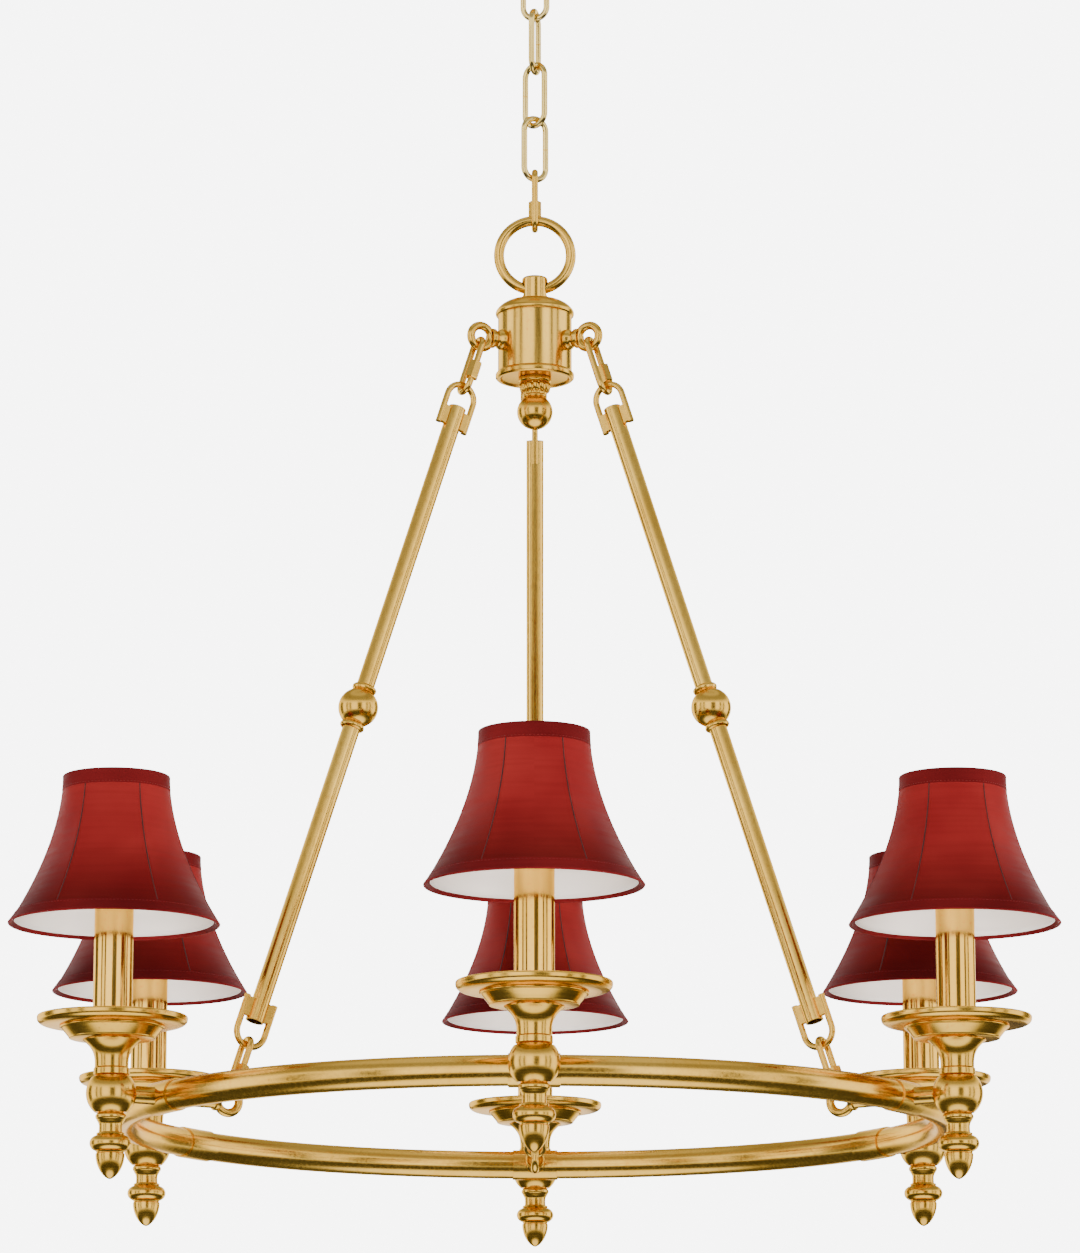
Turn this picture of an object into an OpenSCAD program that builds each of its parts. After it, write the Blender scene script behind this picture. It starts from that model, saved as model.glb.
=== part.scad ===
// Six-light ring chandelier that hangs from the ceiling on a short chain.
// Millimetres, +Z up. The origin is the centre of the face that meets the ceiling, and everything hangs
// below it.
// Seen from the front, which is -Y, one lamp is in the middle and one rod is behind the chain.

/* [Overall] */
// Height from the plane of the ring up to the ceiling
drop = 1000; // [998:1:1040]
// Radius at which the six lamps stand
lamp_circle_r = 352; // [330:1:380]
// Room left between pieces that hang in each other
hang_gap = 0.3; // [0.2:0.05:0.5]

/* [Ceiling fitting] */
// Diameter of the canopy at the ceiling
canopy_d = 128; // [110:1:150]
// Height of the canopy
canopy_h = 34; // [30:1:36]
// Thickness of the canopy's spun brass
canopy_wall = 1.2; // [0.8:0.1:2]
// Length of the mounting strap
strap_l = 108; // [100:1:112]
// Width of the mounting strap
strap_w = 20; // [16:1:26]
// Thickness of the mounting strap
strap_t = 2.4; // [1.6:0.1:3]
// Distance between the centres of the strap's two screw slots
slot_spacing = 79; // [74:1:84]
// End-to-end length of a screw slot
slot_l = 16; // [10:1:18]
// Width of a screw slot
slot_w = 4.8; // [4:0.1:5.4]
// Diameter of the canopy loop's threaded stem
loop_stem_d = 10; // [9:0.5:12]
// Diameter of the threaded body that the collar screws on
loop_body_d = 31; // [30.5:0.5:33]
// Inner diameter of the canopy loop's eye
loop_eye_d = 19; // [18:0.5:19]
// Wire diameter of the canopy loop's eye
loop_wire = 5.5; // [5:0.1:6]
// Outer diameter of the knurled collar
collar_d = 42; // [38:1:46]
// Height of the knurled collar
collar_h = 8; // [6:0.5:9]

/* [Chain] */
// Outer length of a chain link
link_l = 54.3; // [50:0.1:58]
// Outer width of a chain link
link_w = 23.5; // [22:0.1:26]
// Wire diameter of a chain link
link_wire = 5; // [4:0.1:5.2]

/* [Quick links] */
// Outer length of a quick link
quick_l = 51; // [49:0.5:56]
// Outer width of a quick link
quick_w = 19; // [18.6:0.2:21]
// Wire diameter of a quick link
quick_wire = 5; // [4.4:0.1:5]
// Distance across the corners of the link nut
nut_d = 10; // [9:0.2:11]
// Length of the link nut
nut_l = 14.4; // [13:0.2:14.6]
// Width of the opening that the nut closes
quick_gap = 8; // [6:0.5:9]

/* [Hub] */
// Outer diameter of the ring that the hub hangs on
sring_d = 64; // [60:1:70]
// Wire diameter of that ring
sring_wire = 8; // [7:0.1:8]
// Diameter of the hub's stem
stem_d = 20; // [18:0.5:22]
// Diameter of the cross hole through the stem
stem_hole_d = 12.8; // [12.6:0.1:13]
// Diameter of the barrel
barrel_d = 57.4; // [54:0.2:60]
// Diameter of the cap's and the base's lips
lip_d = 61; // [60.2:0.2:64]
// Diameter of the ball under the hub
hub_ball_d = 27.7; // [24:0.1:30]
// Outer diameter of a screw eye
eye_d = 24; // [23:0.5:26]
// Wire diameter of a screw eye
eye_wire = 6.4; // [6:0.1:6.4]

/* [Rods] */
// Outer diameter of a rod's tube
rod_d = 13.5; // [12:0.1:15]
// Wall thickness of a rod's tube
rod_wall = 1.3; // [1:0.1:2]
// Diameter of the knuckle ball at mid-length
knuckle_d = 30; // [26:0.5:34]
// Outer width of the bail at each end of a rod
bail_w = 28; // [26:0.2:30]
// Wire diameter of a bail
bail_wire = 4.8; // [4.4:0.1:5]
// Outer length of a bail
bail_l = 39; // [37:0.5:42]
// Length of the bail's legs that is brazed along the tube
bail_lap = 17; // [14:0.5:19]

/* [Ring] */
// Radius of the ring's centre line
ring_r = 308; // [300:1:312]
// Diameter of the ring's tube
ring_tube_d = 22; // [20:0.5:23]
// Wall thickness of the ring's tube
ring_wall = 1.4; // [1:0.1:2]
// Diameter of the coupling at each lamp
coupling_d = 24; // [23.2:0.2:25]
// Length of the coupling along the ring
coupling_l = 36; // [30:1:40]
// Diameter of the arm between a coupling and its lamp
arm_d = 13; // [11:0.5:14]

/* [Lamps] */
// Diameter of the turned ball that carries a lamp
ball_d = 36.5; // [34:0.5:38]
// Diameter of the drip pan
pan_d = 109; // [100:1:116]
// Height of the drip pan's rim above the ring's plane
pan_rim_z = 53; // [52:0.5:56]
// Outer diameter of the candle sleeve
sleeve_d = 28.5; // [27:0.5:30]
// Height of the candle sleeve's top above the ring's plane
sleeve_top_z = 147; // [144:1:150]
// Greatest diameter of the bulb
bulb_d = 35; // [32:0.5:35]

/* [Shades] */
// Diameter of the shade's lower edge
shade_base_d = 152.4; // [148:0.1:156]
// Diameter of the shade's upper edge
shade_top_d = 76.7; // [74:0.1:80]
// Height of the shade
shade_h = 105; // [102:0.5:108]
// Height of the shade's lower edge above the ring's plane
shade_z = 125; // [123:0.5:127]
// Thickness of the cover, lining and backing together
shade_wall = 1.6; // [1.2:0.1:2]
// How strongly the bell flares towards its lower edge
shade_flare = 1.8; // [1.6:0.05:2]

/* [Hidden] */
$fn = 64;

// Slack between pieces that are screwed or pushed together
slack = 0.05;
// Length by which a cutting shape overshoots
cut = 1;

// Directions of the lamps, of the rods, and of each chain link's plane
FRONT = -90;
FRONT_RIGHT = -30;
BACK_RIGHT = 30;
BACK = 90;
BACK_LEFT = 150;
FRONT_LEFT = 210;
lamp_directions = [FRONT, FRONT_RIGHT, BACK_RIGHT, BACK, BACK_LEFT, FRONT_LEFT];
rod_directions = [FRONT_RIGHT, BACK, FRONT_LEFT];
link_turns = [-12, 74, -37, 27];

// Heights of the hub, from the plane of the ring
pin_height = 649;
cap_top = 641;
cap_lip_top = 630;
barrel_top = 627;
barrel_bottom = 583;
base_bottom = 577;
hub_eye_z = 605;
hub_eye_r = 48;
ring_eye_r = 258;

// The run of the suspension, counted up from the stem's cross hole
sring_mid_r = (sring_d - sring_wire) / 2;
pin_z = pin_height - drop;
sring_z = pin_z + sring_mid_r;
top_quick_z = sring_z + sring_mid_r - sring_wire / 2 - hang_gap - quick_wire;
lowest_link_z = top_quick_z + quick_l - quick_wire - hang_gap - link_wire;
link_step = link_l - 2 * link_wire - hang_gap;
loop_floor_z = lowest_link_z + 3 * link_step + link_l - link_wire - hang_gap;

// Threaded body of the canopy loop
body_top_z = -canopy_h + 8;
body_bottom_z = -52;
collar_top_z = -canopy_h - 0.3;

// A rod's line runs from the centre of its hub eye to the centre of its ring eye
rod_span = norm([ring_eye_r - hub_eye_r, hub_eye_z]);
rod_lean = atan((ring_eye_r - hub_eye_r) / hub_eye_z);
eye_mid_r = (eye_d - eye_wire) / 2;
eye_reach = eye_mid_r - eye_wire / 2 - hang_gap - quick_wire;
quick_bottom = eye_reach + quick_l;
bail_top = quick_bottom - quick_wire - hang_gap - bail_wire;
tube_top = bail_top + bail_l - bail_lap;
knuckle_half = 18;

// Nut and opening of a quick link, above its lowest point
nut_z = 12.8;
gap_z = nut_z + (nut_l - quick_gap) / 2;

// Lamp stack, above the plane of the ring
ball_top = 11.5;
ball_bottom = -14;
cup_top = 38.5;
dish_top = 48.5;
bulb_foot_z = 133;
bulb_neck_z = 153;
bulb_tip_z = 220;
socket_top_z = 152;
socket_bottom_z = 112;

// A shade's wire frame
frame_wire = 2;
arm_wire = 1.6;
clip_r = bulb_d / 2 + hang_gap + frame_wire / 2;
clip_low_z = 172;
clip_high_z = 190;

brass = [0.79, 0.63, 0.33];
chain_brass = [0.86, 0.78, 0.52];
steel = [0.6, 0.6, 0.6];
candle = [0.83, 0.68, 0.38];
red_satin = [0.48, 0.04, 0.05];
porcelain = [0.9, 0.9, 0.88];
glass = [0.96, 0.93, 0.85];

// ---------------------------------------------------------------- placing

// Lifts the children from the plane of the ring
module at_ring(z = 0) {
    translate([0, 0, z - drop]) children();
}

// Puts the children on the axis of the lamp in one direction
module at_lamp(direction) {
    at_ring() rotate([0, 0, direction]) translate([lamp_circle_r, 0, 0]) children();
}

// Puts the children on a rod: the origin is its hub eye's centre and -Z runs down the rod
module on_rod(direction) {
    at_ring(hub_eye_z) rotate([0, 0, direction]) translate([hub_eye_r, 0, 0])
        rotate([0, -rod_lean, 0]) children();
}

// The children, and the same again at the other end of the rod
module both_rod_ends() {
    children();
    translate([0, 0, -rod_span]) mirror([0, 0, 1]) children();
}

// ---------------------------------------------------------------- shared shapes

// A tube standing on the origin
module tube(d, wall, h) {
    difference() {
        cylinder(d = d, h = h);
        translate([0, 0, -cut]) cylinder(d = d - 2 * wall, h = h + 2 * cut);
    }
}

// A round wire ring in the XZ plane, or the upper part of one
module wire_ring(mid_r, wire, angle = 360) {
    rotate([90, 0, 0]) rotate_extrude(angle = angle) translate([mid_r, 0]) circle(d = wire);
}

// An oval loop of round wire in the XZ plane, standing on the origin
module oval_loop(length, width, wire) {
    bow_r = (width - wire) / 2;
    translate([0, 0, length - width / 2]) wire_ring(bow_r, wire, 180);
    translate([0, 0, width / 2]) mirror([0, 0, 1]) wire_ring(bow_r, wire, 180);
    for (side = [-1, 1])
        translate([side * bow_r, 0, width / 2]) cylinder(d = wire, h = length - width);
}

// A quick link standing on the origin in the YZ plane, open on its +Y leg behind the nut
module quick_link() {
    rotate([0, 0, 90])
        difference() {
            oval_loop(quick_l, quick_w, quick_wire);
            translate([quick_w / 2 - quick_wire - cut, -quick_wire, gap_z])
                cube([quick_wire + 2 * cut, 2 * quick_wire, quick_gap]);
        }
}

// The six-sided sleeve nut that closes a quick link
module link_nut() {
    translate([0, (quick_w - quick_wire) / 2, nut_z])
        difference() {
            cylinder(d = nut_d, h = nut_l, $fn = 6);
            translate([0, 0, -cut]) cylinder(d = quick_wire + 2 * slack, h = nut_l + 2 * cut);
        }
}

// A screw eye along +X, from its flange at start to the centre of its ring at reach
module screw_eye(start, reach) {
    flange_d = 15;
    spool_d = 11.6;
    end_d = 13.6;
    end_l = 4;
    boss_end = reach - eye_mid_r + 1;
    rotate([0, 90, 0]) {
        translate([0, 0, start]) cylinder(d = flange_d, h = 4.5);
        translate([0, 0, start]) cylinder(d = spool_d, h = boss_end - start);
        translate([0, 0, boss_end - end_l]) cylinder(d = end_d, h = end_l);
    }
    translate([reach, 0, 0]) wire_ring(eye_mid_r, eye_wire);
}

// A straight wire from one point to another
module wire_between(from, to, d) {
    run = to - from;
    translate(from)
        rotate([0, acos(run.z / norm(run)), atan2(run.y, run.x)])
            cylinder(d = d, h = norm(run));
}

// ---------------------------------------------------------------- ceiling fitting

module mounting_strap() {
    color(steel)
        difference() {
            translate([-strap_l / 2, -strap_w / 2, -strap_t]) cube([strap_l, strap_w, strap_t]);
            translate([0, 0, -strap_t - cut]) cylinder(d = loop_stem_d + 2 * slack, h = strap_t + 2 * cut);
            for (side = [-1, 1])
                translate([side * slot_spacing / 2, 0, -strap_t - cut])
                    screw_slot(strap_t + 2 * cut);
        }
}

// A slot with round ends that runs along X
module screw_slot(h) {
    run = slot_l - slot_w;
    for (end = [-1, 1])
        translate([end * run / 2, 0, 0]) cylinder(d = slot_w, h = h);
    translate([-run / 2, -slot_w / 2, 0]) cube([run, slot_w, h]);
}

// Outline of half the canopy: a straight rim, then a quarter oval down to a flat round the hole
function canopy_curve(inset) = [for (a = [0:10:90])
    [loop_body_d / 2 + 8 + (canopy_d / 2 - loop_body_d / 2 - 8 - inset) * cos(a),
        -6 - (canopy_h - 6 - inset) * sin(a)]];

module ceiling_canopy() {
    hole_r = loop_body_d / 2 + 0.6;
    outer = concat([[canopy_d / 2, 0]], canopy_curve(0), [[hole_r, -canopy_h]]);
    inner = concat([[canopy_d / 2 - canopy_wall, 0]], canopy_curve(canopy_wall),
        [[hole_r, -canopy_h + canopy_wall]]);
    color(brass)
        rotate_extrude()
            polygon(concat(outer, [for (i = [len(inner) - 1:-1:0]) inner[i]]));
}

module canopy_loop() {
    eye_mid = (loop_eye_d + loop_wire) / 2;
    eye_z = loop_floor_z + loop_eye_d / 2;
    color(brass) {
        translate([0, 0, body_top_z]) cylinder(d = loop_stem_d, h = -body_top_z);
        translate([0, 0, body_bottom_z]) cylinder(d = loop_body_d, h = body_top_z - body_bottom_z);
        translate([0, 0, eye_z + eye_mid]) cylinder(d = 12, h = body_bottom_z - eye_z - eye_mid + cut);
        translate([0, 0, eye_z]) rotate([0, 0, 90]) wire_ring(eye_mid, loop_wire);
    }
}

module canopy_collar() {
    color(brass)
        translate([0, 0, collar_top_z - collar_h])
            difference() {
                union() {
                    cylinder(d = collar_d - 3, h = collar_h);
                    translate([0, 0, 1.5]) cylinder(d = collar_d, h = collar_h - 3);
                }
                translate([0, 0, -cut]) cylinder(d = loop_body_d + 2 * slack, h = collar_h + 2 * cut);
            }
}

// ---------------------------------------------------------------- suspension

// A chain link, counted from the ceiling down
module chain_link(number) {
    color(chain_brass)
        translate([0, 0, lowest_link_z + (4 - number) * link_step])
            rotate([0, 0, link_turns[number - 1]])
                oval_loop(link_l, link_w, link_wire);
}

module top_quick_link() {
    color(brass) translate([0, 0, top_quick_z]) quick_link();
}

module top_link_nut() {
    color(brass) translate([0, 0, top_quick_z]) link_nut();
}

module suspension_ring() {
    color(brass) translate([0, 0, sring_z]) wire_ring(sring_mid_r, sring_wire);
}

// ---------------------------------------------------------------- hub

module hub_stem() {
    stem_top = 659;
    edge_r = 2;
    shank_bottom = 568;
    color(brass)
        at_ring()
            difference() {
                union() {
                    translate([0, 0, cap_top]) cylinder(d = stem_d, h = stem_top - edge_r - cap_top);
                    translate([0, 0, stem_top - edge_r]) cylinder(d = stem_d - 2 * edge_r, h = edge_r);
                    translate([0, 0, stem_top - edge_r])
                        rotate_extrude() translate([stem_d / 2 - edge_r, 0]) circle(r = edge_r);
                    translate([0, 0, shank_bottom]) cylinder(d = loop_stem_d, h = cap_top - shank_bottom);
                }
                translate([0, 0, pin_height]) rotate([0, 90, 0])
                    cylinder(d = stem_hole_d, h = 3 * stem_d, center = true);
            }
}

module hub_cap() {
    bore_r = loop_stem_d / 2 + slack;
    color(brass)
        at_ring()
            rotate_extrude()
                difference() {
                    union() {
                        polygon([[0, barrel_top], [lip_d / 2 - 1.5, barrel_top],
                            [lip_d / 2 - 1.5, cap_lip_top],
                            [lip_d / 2 - 4, cap_lip_top + 4.6], [stem_d / 2 + 3, cap_top], [0, cap_top]]);
                        translate([lip_d / 2 - 1.5, cap_lip_top - 1.5]) circle(r = 1.5);
                    }
                    translate([0, barrel_top - cut]) square([bore_r, cap_top - barrel_top + 2 * cut]);
                }
}

module hub_barrel() {
    color(brass) at_ring(barrel_bottom) tube(barrel_d, 2, barrel_top - barrel_bottom);
}

module hub_base() {
    bore_r = loop_stem_d / 2 + slack;
    color(brass)
        at_ring()
            rotate_extrude()
                difference() {
                    union() {
                        translate([0, base_bottom]) square([lip_d / 2 - 1.5, barrel_bottom - base_bottom]);
                        translate([lip_d / 2 - 1.9, barrel_bottom - 2]) circle(r = 1.9);
                    }
                    translate([0, base_bottom - cut]) square([bore_r, barrel_bottom - base_bottom + 2 * cut]);
                }
}

module hub_finial() {
    ball_z = 551;
    bore_z = 567.5;
    color(brass)
        at_ring()
            difference() {
                union() {
                    rotate_extrude()
                        polygon([[0, base_bottom], [12.4, base_bottom], [12.4, 574.5], [11, 573.5],
                            [11.6, 567.5],
                            [9.4, 565.5], [7.6, 562], [7.6, ball_z], [0, ball_z]]);
                    translate([0, 0, 570.5]) rotate_extrude() translate([10.4, 0]) circle(r = 1.8);
                    translate([0, 0, 562.2]) rotate_extrude() translate([8.2, 0]) circle(r = 1.4);
                    translate([0, 0, ball_z]) sphere(d = hub_ball_d);
                }
                translate([0, 0, bore_z])
                    cylinder(d = loop_stem_d + 2 * slack, h = base_bottom - bore_z + cut);
            }
}

module hub_eyes() {
    color(brass)
        at_ring(hub_eye_z)
            difference() {
                for (direction = rod_directions)
                    rotate([0, 0, direction]) screw_eye(barrel_d / 2 - 2, hub_eye_r);
                cylinder(d = barrel_d + slack, h = 60, center = true);
            }
}

// ---------------------------------------------------------------- rods

module rod_tubes(direction) {
    color(brass)
        on_rod(direction)
            both_rod_ends()
                translate([0, 0, -rod_span / 2 + knuckle_half])
                    tube(rod_d, rod_wall, rod_span / 2 - knuckle_half - tube_top);
}

module rod_knuckle(direction) {
    collar_r = 2.1;
    color(brass)
        on_rod(direction)
            translate([0, 0, -rod_span / 2]) {
                sphere(d = knuckle_d);
                cylinder(d = rod_d + 1, h = 2 * knuckle_half, center = true);
                for (side = [-1, 1])
                    translate([0, 0, side * (knuckle_half - collar_r)])
                        rotate_extrude() translate([rod_d / 2 + 0.4, 0]) circle(r = collar_r);
            }
}

module rod_bails(direction) {
    color(brass) on_rod(direction) both_rod_ends() translate([0, 0, -bail_top]) bail();
}

// A bail hanging down from the origin in the XZ plane, with a pad on each leg that meets the tube
module bail() {
    bow_r = (bail_w - bail_wire) / 2;
    pad_l = bail_lap - 3;
    difference() {
        union() {
            translate([0, 0, -bail_w / 2]) wire_ring(bow_r, bail_wire, 180);
            for (side = [-1, 1]) {
                translate([side * bow_r, 0, -bail_l]) cylinder(d = bail_wire, h = bail_l - bail_w / 2);
                translate([side * (bow_r / 2 + 1), 0, -bail_l + pad_l / 2 + 1])
                    cube([bow_r - 2, bail_wire - 0.4, pad_l], center = true);
            }
        }
        translate([0, 0, -bail_l - cut]) cylinder(d = rod_d + slack, h = bail_l - bail_w / 2 + cut);
    }
}

// Both quick links of a rod: each has its nut in its lower half
module rod_link_places() {
    translate([0, 0, -quick_bottom]) children();
    translate([0, 0, -rod_span + eye_reach]) children();
}

module rod_links(direction) {
    color(brass) on_rod(direction) rod_link_places() quick_link();
}

module rod_nuts(direction) {
    color(brass) on_rod(direction) rod_link_places() link_nut();
}

// ---------------------------------------------------------------- ring

module ring_tubes() {
    coupling_angle = coupling_l / ring_r * 180 / PI;
    color(brass)
        at_ring()
            for (direction = lamp_directions)
                rotate([0, 0, direction + coupling_angle / 2])
                    rotate_extrude(angle = 60 - coupling_angle)
                        translate([ring_r, 0])
                            difference() {
                                circle(d = ring_tube_d);
                                circle(d = ring_tube_d - 2 * ring_wall);
                            }
}

// A coupling's sleeve, curved with the ring and centred on the +X direction
module coupling_sleeve(d) {
    coupling_angle = coupling_l / ring_r * 180 / PI;
    rotate([0, 0, -coupling_angle / 2]) rotate_extrude(angle = coupling_angle)
        translate([ring_r, 0]) circle(d = d);
}

module ring_couplings() {
    arm_end = lamp_circle_r - ball_d / 2 + 3;
    color(brass)
        at_ring()
            for (direction = lamp_directions)
                rotate([0, 0, direction])
                    difference() {
                        union() {
                            coupling_sleeve(coupling_d);
                            translate([ring_r, 0, 0]) rotate([0, 90, 0])
                                cylinder(d = arm_d, h = arm_end - ring_r);
                        }
                        coupling_sleeve(ring_tube_d - 2 * ring_wall);
                    }
}

module ring_eyes() {
    color(brass)
        at_ring()
            for (direction = rod_directions)
                rotate([0, 0, direction])
                    difference() {
                        mirror([1, 0, 0]) translate([-ring_r, 0, 0])
                            screw_eye(coupling_d / 2 - 3, ring_r - ring_eye_r);
                        coupling_sleeve(coupling_d + slack);
                    }
}

// ---------------------------------------------------------------- lamps

module lamp_ball() {
    difference() {
        intersection() {
            sphere(d = ball_d);
            translate([-ball_d, -ball_d, ball_bottom]) cube([2 * ball_d, 2 * ball_d, ball_top - ball_bottom]);
        }
        translate([-ball_d, 0, 0]) rotate([0, 90, 0]) cylinder(d = arm_d + slack, h = ball_d / 2 + 3.1);
    }
}

module lamp_balls() {
    color(brass) for (direction = lamp_directions) at_lamp(direction) lamp_ball();
}

// The turned drop under a lamp: collar, neck, urn and acorn
module lamp_finial() {
    acorn = [for (a = [0:10:80]) [10.5 * pow(cos(a), 1.25), -44.8 - 17.2 * pow(sin(a), 1.1)]];
    rotate_extrude()
        difference() {
            union() {
                polygon(concat([[0, ball_bottom], [9.4, ball_bottom], [9.4, -19.6], [8.6, -22], [8.5, -28],
                    [10, -30.4], [10, -42], [10.5, -43.6]], acorn, [[0, -62]]));
                translate([9.3, -17]) scale([0.8, 1]) circle(r = 2.3);
                translate([9.1, -29.6]) circle(r = 1.1);
                translate([8.5, -36.2]) scale([1, 0.9]) circle(r = 6.5);
            }
            translate([-30, -80]) square([30, 80]);
        }
}

module lamp_finials() {
    color(brass) for (direction = lamp_directions) at_lamp(direction) lamp_finial();
}

// The turned cup over a lamp's ball: a neck, a band and a trumpet that opens upwards
module drip_cup() {
    trumpet = [for (t = [0:0.125:1]) [12.2 + 8.6 * pow(t, 2.4), 19.5 + (cup_top - 19.5) * t]];
    rotate_extrude()
        polygon(concat([[0, ball_top], [10.8, ball_top], [10.8, 12.4], [13, 13], [13, 18.2], [12.2, 18.8]],
            trumpet, [[0, cup_top]]));
}

module drip_cups() {
    color(brass) for (direction = lamp_directions) at_lamp(direction) drip_cup();
}

module stepped_dish() {
    rotate_extrude()
        polygon([[0, cup_top], [21.3, cup_top], [30.2, 39.2], [31.2, 40], [36.8, 46.8], [38, 47.4],
            [38, dish_top], [0, dish_top]]);
}

module stepped_dishes() {
    color(brass) for (direction = lamp_directions) at_lamp(direction) stepped_dish();
}

// A shallow pan with a rolled rim
module drip_pan() {
    rim_r = 1.9;
    edge = pan_d / 2 - rim_r;
    rotate_extrude() {
        polygon([[0, dish_top], [39.5, dish_top], [45, dish_top + 0.3], [edge - 1, pan_rim_z - 2.6],
            [edge, pan_rim_z - 1],
            [edge - 0.4, pan_rim_z], [edge - 2, pan_rim_z - 1.4], [44.6, dish_top + 1.3], [30, dish_top + 1],
            [0, dish_top + 1]]);
        translate([edge, pan_rim_z]) scale([1, 1.6]) circle(r = rim_r);
    }
}

module drip_pans() {
    color(brass) for (direction = lamp_directions) at_lamp(direction) drip_pan();
}

module candle_sleeves() {
    foot_z = dish_top + 1;
    color(candle)
        for (direction = lamp_directions)
            at_lamp(direction) translate([0, 0, foot_z]) tube(sleeve_d, 1.2, sleeve_top_z - foot_z);
}

// A lampholder on its stem, inside the candle sleeve
module lamp_socket() {
    foot_z = dish_top + 1;
    difference() {
        union() {
            translate([0, 0, foot_z]) cylinder(d = 10, h = socket_bottom_z - foot_z);
            translate([0, 0, socket_bottom_z]) cylinder(d = 25, h = socket_top_z - socket_bottom_z);
        }
        translate([0, 0, bulb_foot_z - 0.5]) cylinder(d = 14, h = socket_top_z);
    }
}

module lamp_sockets() {
    color(porcelain) for (direction = lamp_directions) at_lamp(direction) lamp_socket();
}

// A candle bulb with its screw base, standing in the lampholder
module bulb(direction) {
    flame = [for (a = [-60:10:80]) [bulb_d / 2 * cos(a), 178 + (a < 0 ? 25 : 42) * sin(a)]];
    color(glass)
        at_lamp(direction)
            rotate_extrude()
                polygon(concat([[0, bulb_foot_z], [6.9, bulb_foot_z], [6.9, bulb_neck_z]], flame,
                    [[0, bulb_tip_z]]));
}

// ---------------------------------------------------------------- shades

// Outer radius of the bell at a share of its height, 0 at the lower edge
function bell_r(share) = shade_top_d / 2 + (shade_base_d - shade_top_d) / 2 * pow(1 - share, shade_flare);

// The bell's curve, moved inwards by inset
function bell_curve(inset) = [for (step = [0:16]) [bell_r(step / 16) - inset, shade_z + shade_h * step / 16]];

module shade(direction) {
    outer = bell_curve(0);
    inner = bell_curve(shade_wall);
    color(red_satin)
        at_lamp(direction)
            rotate_extrude()
                polygon(concat(outer, [for (i = [len(inner) - 1:-1:0]) inner[i]]));
}

// A ring of frame wire that lies flat
module flat_ring(r) {
    rotate_extrude() translate([r, 0]) circle(d = frame_wire);
}

// The wire frame of a shade: a ring in each edge, and a cage on three arms that clips over the bulb
module frame(direction) {
    top_r = shade_top_d / 2 - shade_wall - frame_wire / 2 - slack;
    base_step = 2;
    base_r = bell_r(base_step / shade_h) - shade_wall - frame_wire / 2 - 0.3;
    top_z = shade_z + shade_h - 2;
    color(brass)
        at_lamp(direction) {
            translate([0, 0, top_z]) flat_ring(top_r);
            translate([0, 0, shade_z + base_step]) flat_ring(base_r);
            translate([0, 0, clip_high_z]) flat_ring(clip_r);
            translate([0, 0, clip_low_z]) flat_ring(clip_r);
            for (arm = [0:120:240]) {
                rotate([0, 0, arm + 60])
                    wire_between([clip_r, 0, clip_high_z], [top_r, 0, top_z], arm_wire);
                rotate([0, 0, arm])
                    translate([clip_r, 0, clip_low_z]) cylinder(d = arm_wire, h = clip_high_z - clip_low_z);
            }
        }
}

mounting_strap();
ceiling_canopy();
canopy_loop();
canopy_collar();
chain_link(1);  // chain_link_1
chain_link(2);  // chain_link_2
chain_link(3);  // chain_link_3
chain_link(4);  // chain_link_4
top_quick_link();
top_link_nut();
suspension_ring();
hub_stem();
hub_cap();
hub_barrel();
hub_base();
hub_finial();
hub_eyes();
rod_tubes(FRONT_RIGHT);  // rod_front_right_tubes
rod_knuckle(FRONT_RIGHT);  // rod_front_right_knuckle
rod_bails(FRONT_RIGHT);  // rod_front_right_bails
rod_links(FRONT_RIGHT);  // rod_front_right_links
rod_nuts(FRONT_RIGHT);  // rod_front_right_nuts
rod_tubes(BACK);  // rod_back_tubes
rod_knuckle(BACK);  // rod_back_knuckle
rod_bails(BACK);  // rod_back_bails
rod_links(BACK);  // rod_back_links
rod_nuts(BACK);  // rod_back_nuts
rod_tubes(FRONT_LEFT);  // rod_front_left_tubes
rod_knuckle(FRONT_LEFT);  // rod_front_left_knuckle
rod_bails(FRONT_LEFT);  // rod_front_left_bails
rod_links(FRONT_LEFT);  // rod_front_left_links
rod_nuts(FRONT_LEFT);  // rod_front_left_nuts
ring_tubes();
ring_couplings();
ring_eyes();
lamp_balls();
lamp_finials();
drip_cups();
stepped_dishes();
drip_pans();
candle_sleeves();
lamp_sockets();
bulb(FRONT);  // bulb_front
bulb(FRONT_RIGHT);  // bulb_front_right
bulb(BACK_RIGHT);  // bulb_back_right
bulb(BACK);  // bulb_back
bulb(BACK_LEFT);  // bulb_back_left
bulb(FRONT_LEFT);  // bulb_front_left
shade(FRONT);  // shade_front
shade(FRONT_RIGHT);  // shade_front_right
shade(BACK_RIGHT);  // shade_back_right
shade(BACK);  // shade_back
shade(BACK_LEFT);  // shade_back_left
shade(FRONT_LEFT);  // shade_front_left
frame(FRONT);  // frame_front
frame(FRONT_RIGHT);  // frame_front_right
frame(BACK_RIGHT);  // frame_back_right
frame(BACK);  // frame_back
frame(BACK_LEFT);  // frame_back_left
frame(FRONT_LEFT);  // frame_front_left
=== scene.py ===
"""Looks of a six-light ring chandelier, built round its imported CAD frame.

A piece is made in millimetres and finished in metres, in the frame's axes: +Z up, -Y the front, and the origin at
the ceiling. Heights marked as above the ring are counted from the plane of the ring.
"""

import logging
import math
from dataclasses import dataclass, field
from enum import Enum
from functools import partial
from typing import Callable, Iterable, Optional, Sequence

import bmesh
import bpy
from mathutils import Matrix, Vector


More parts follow.
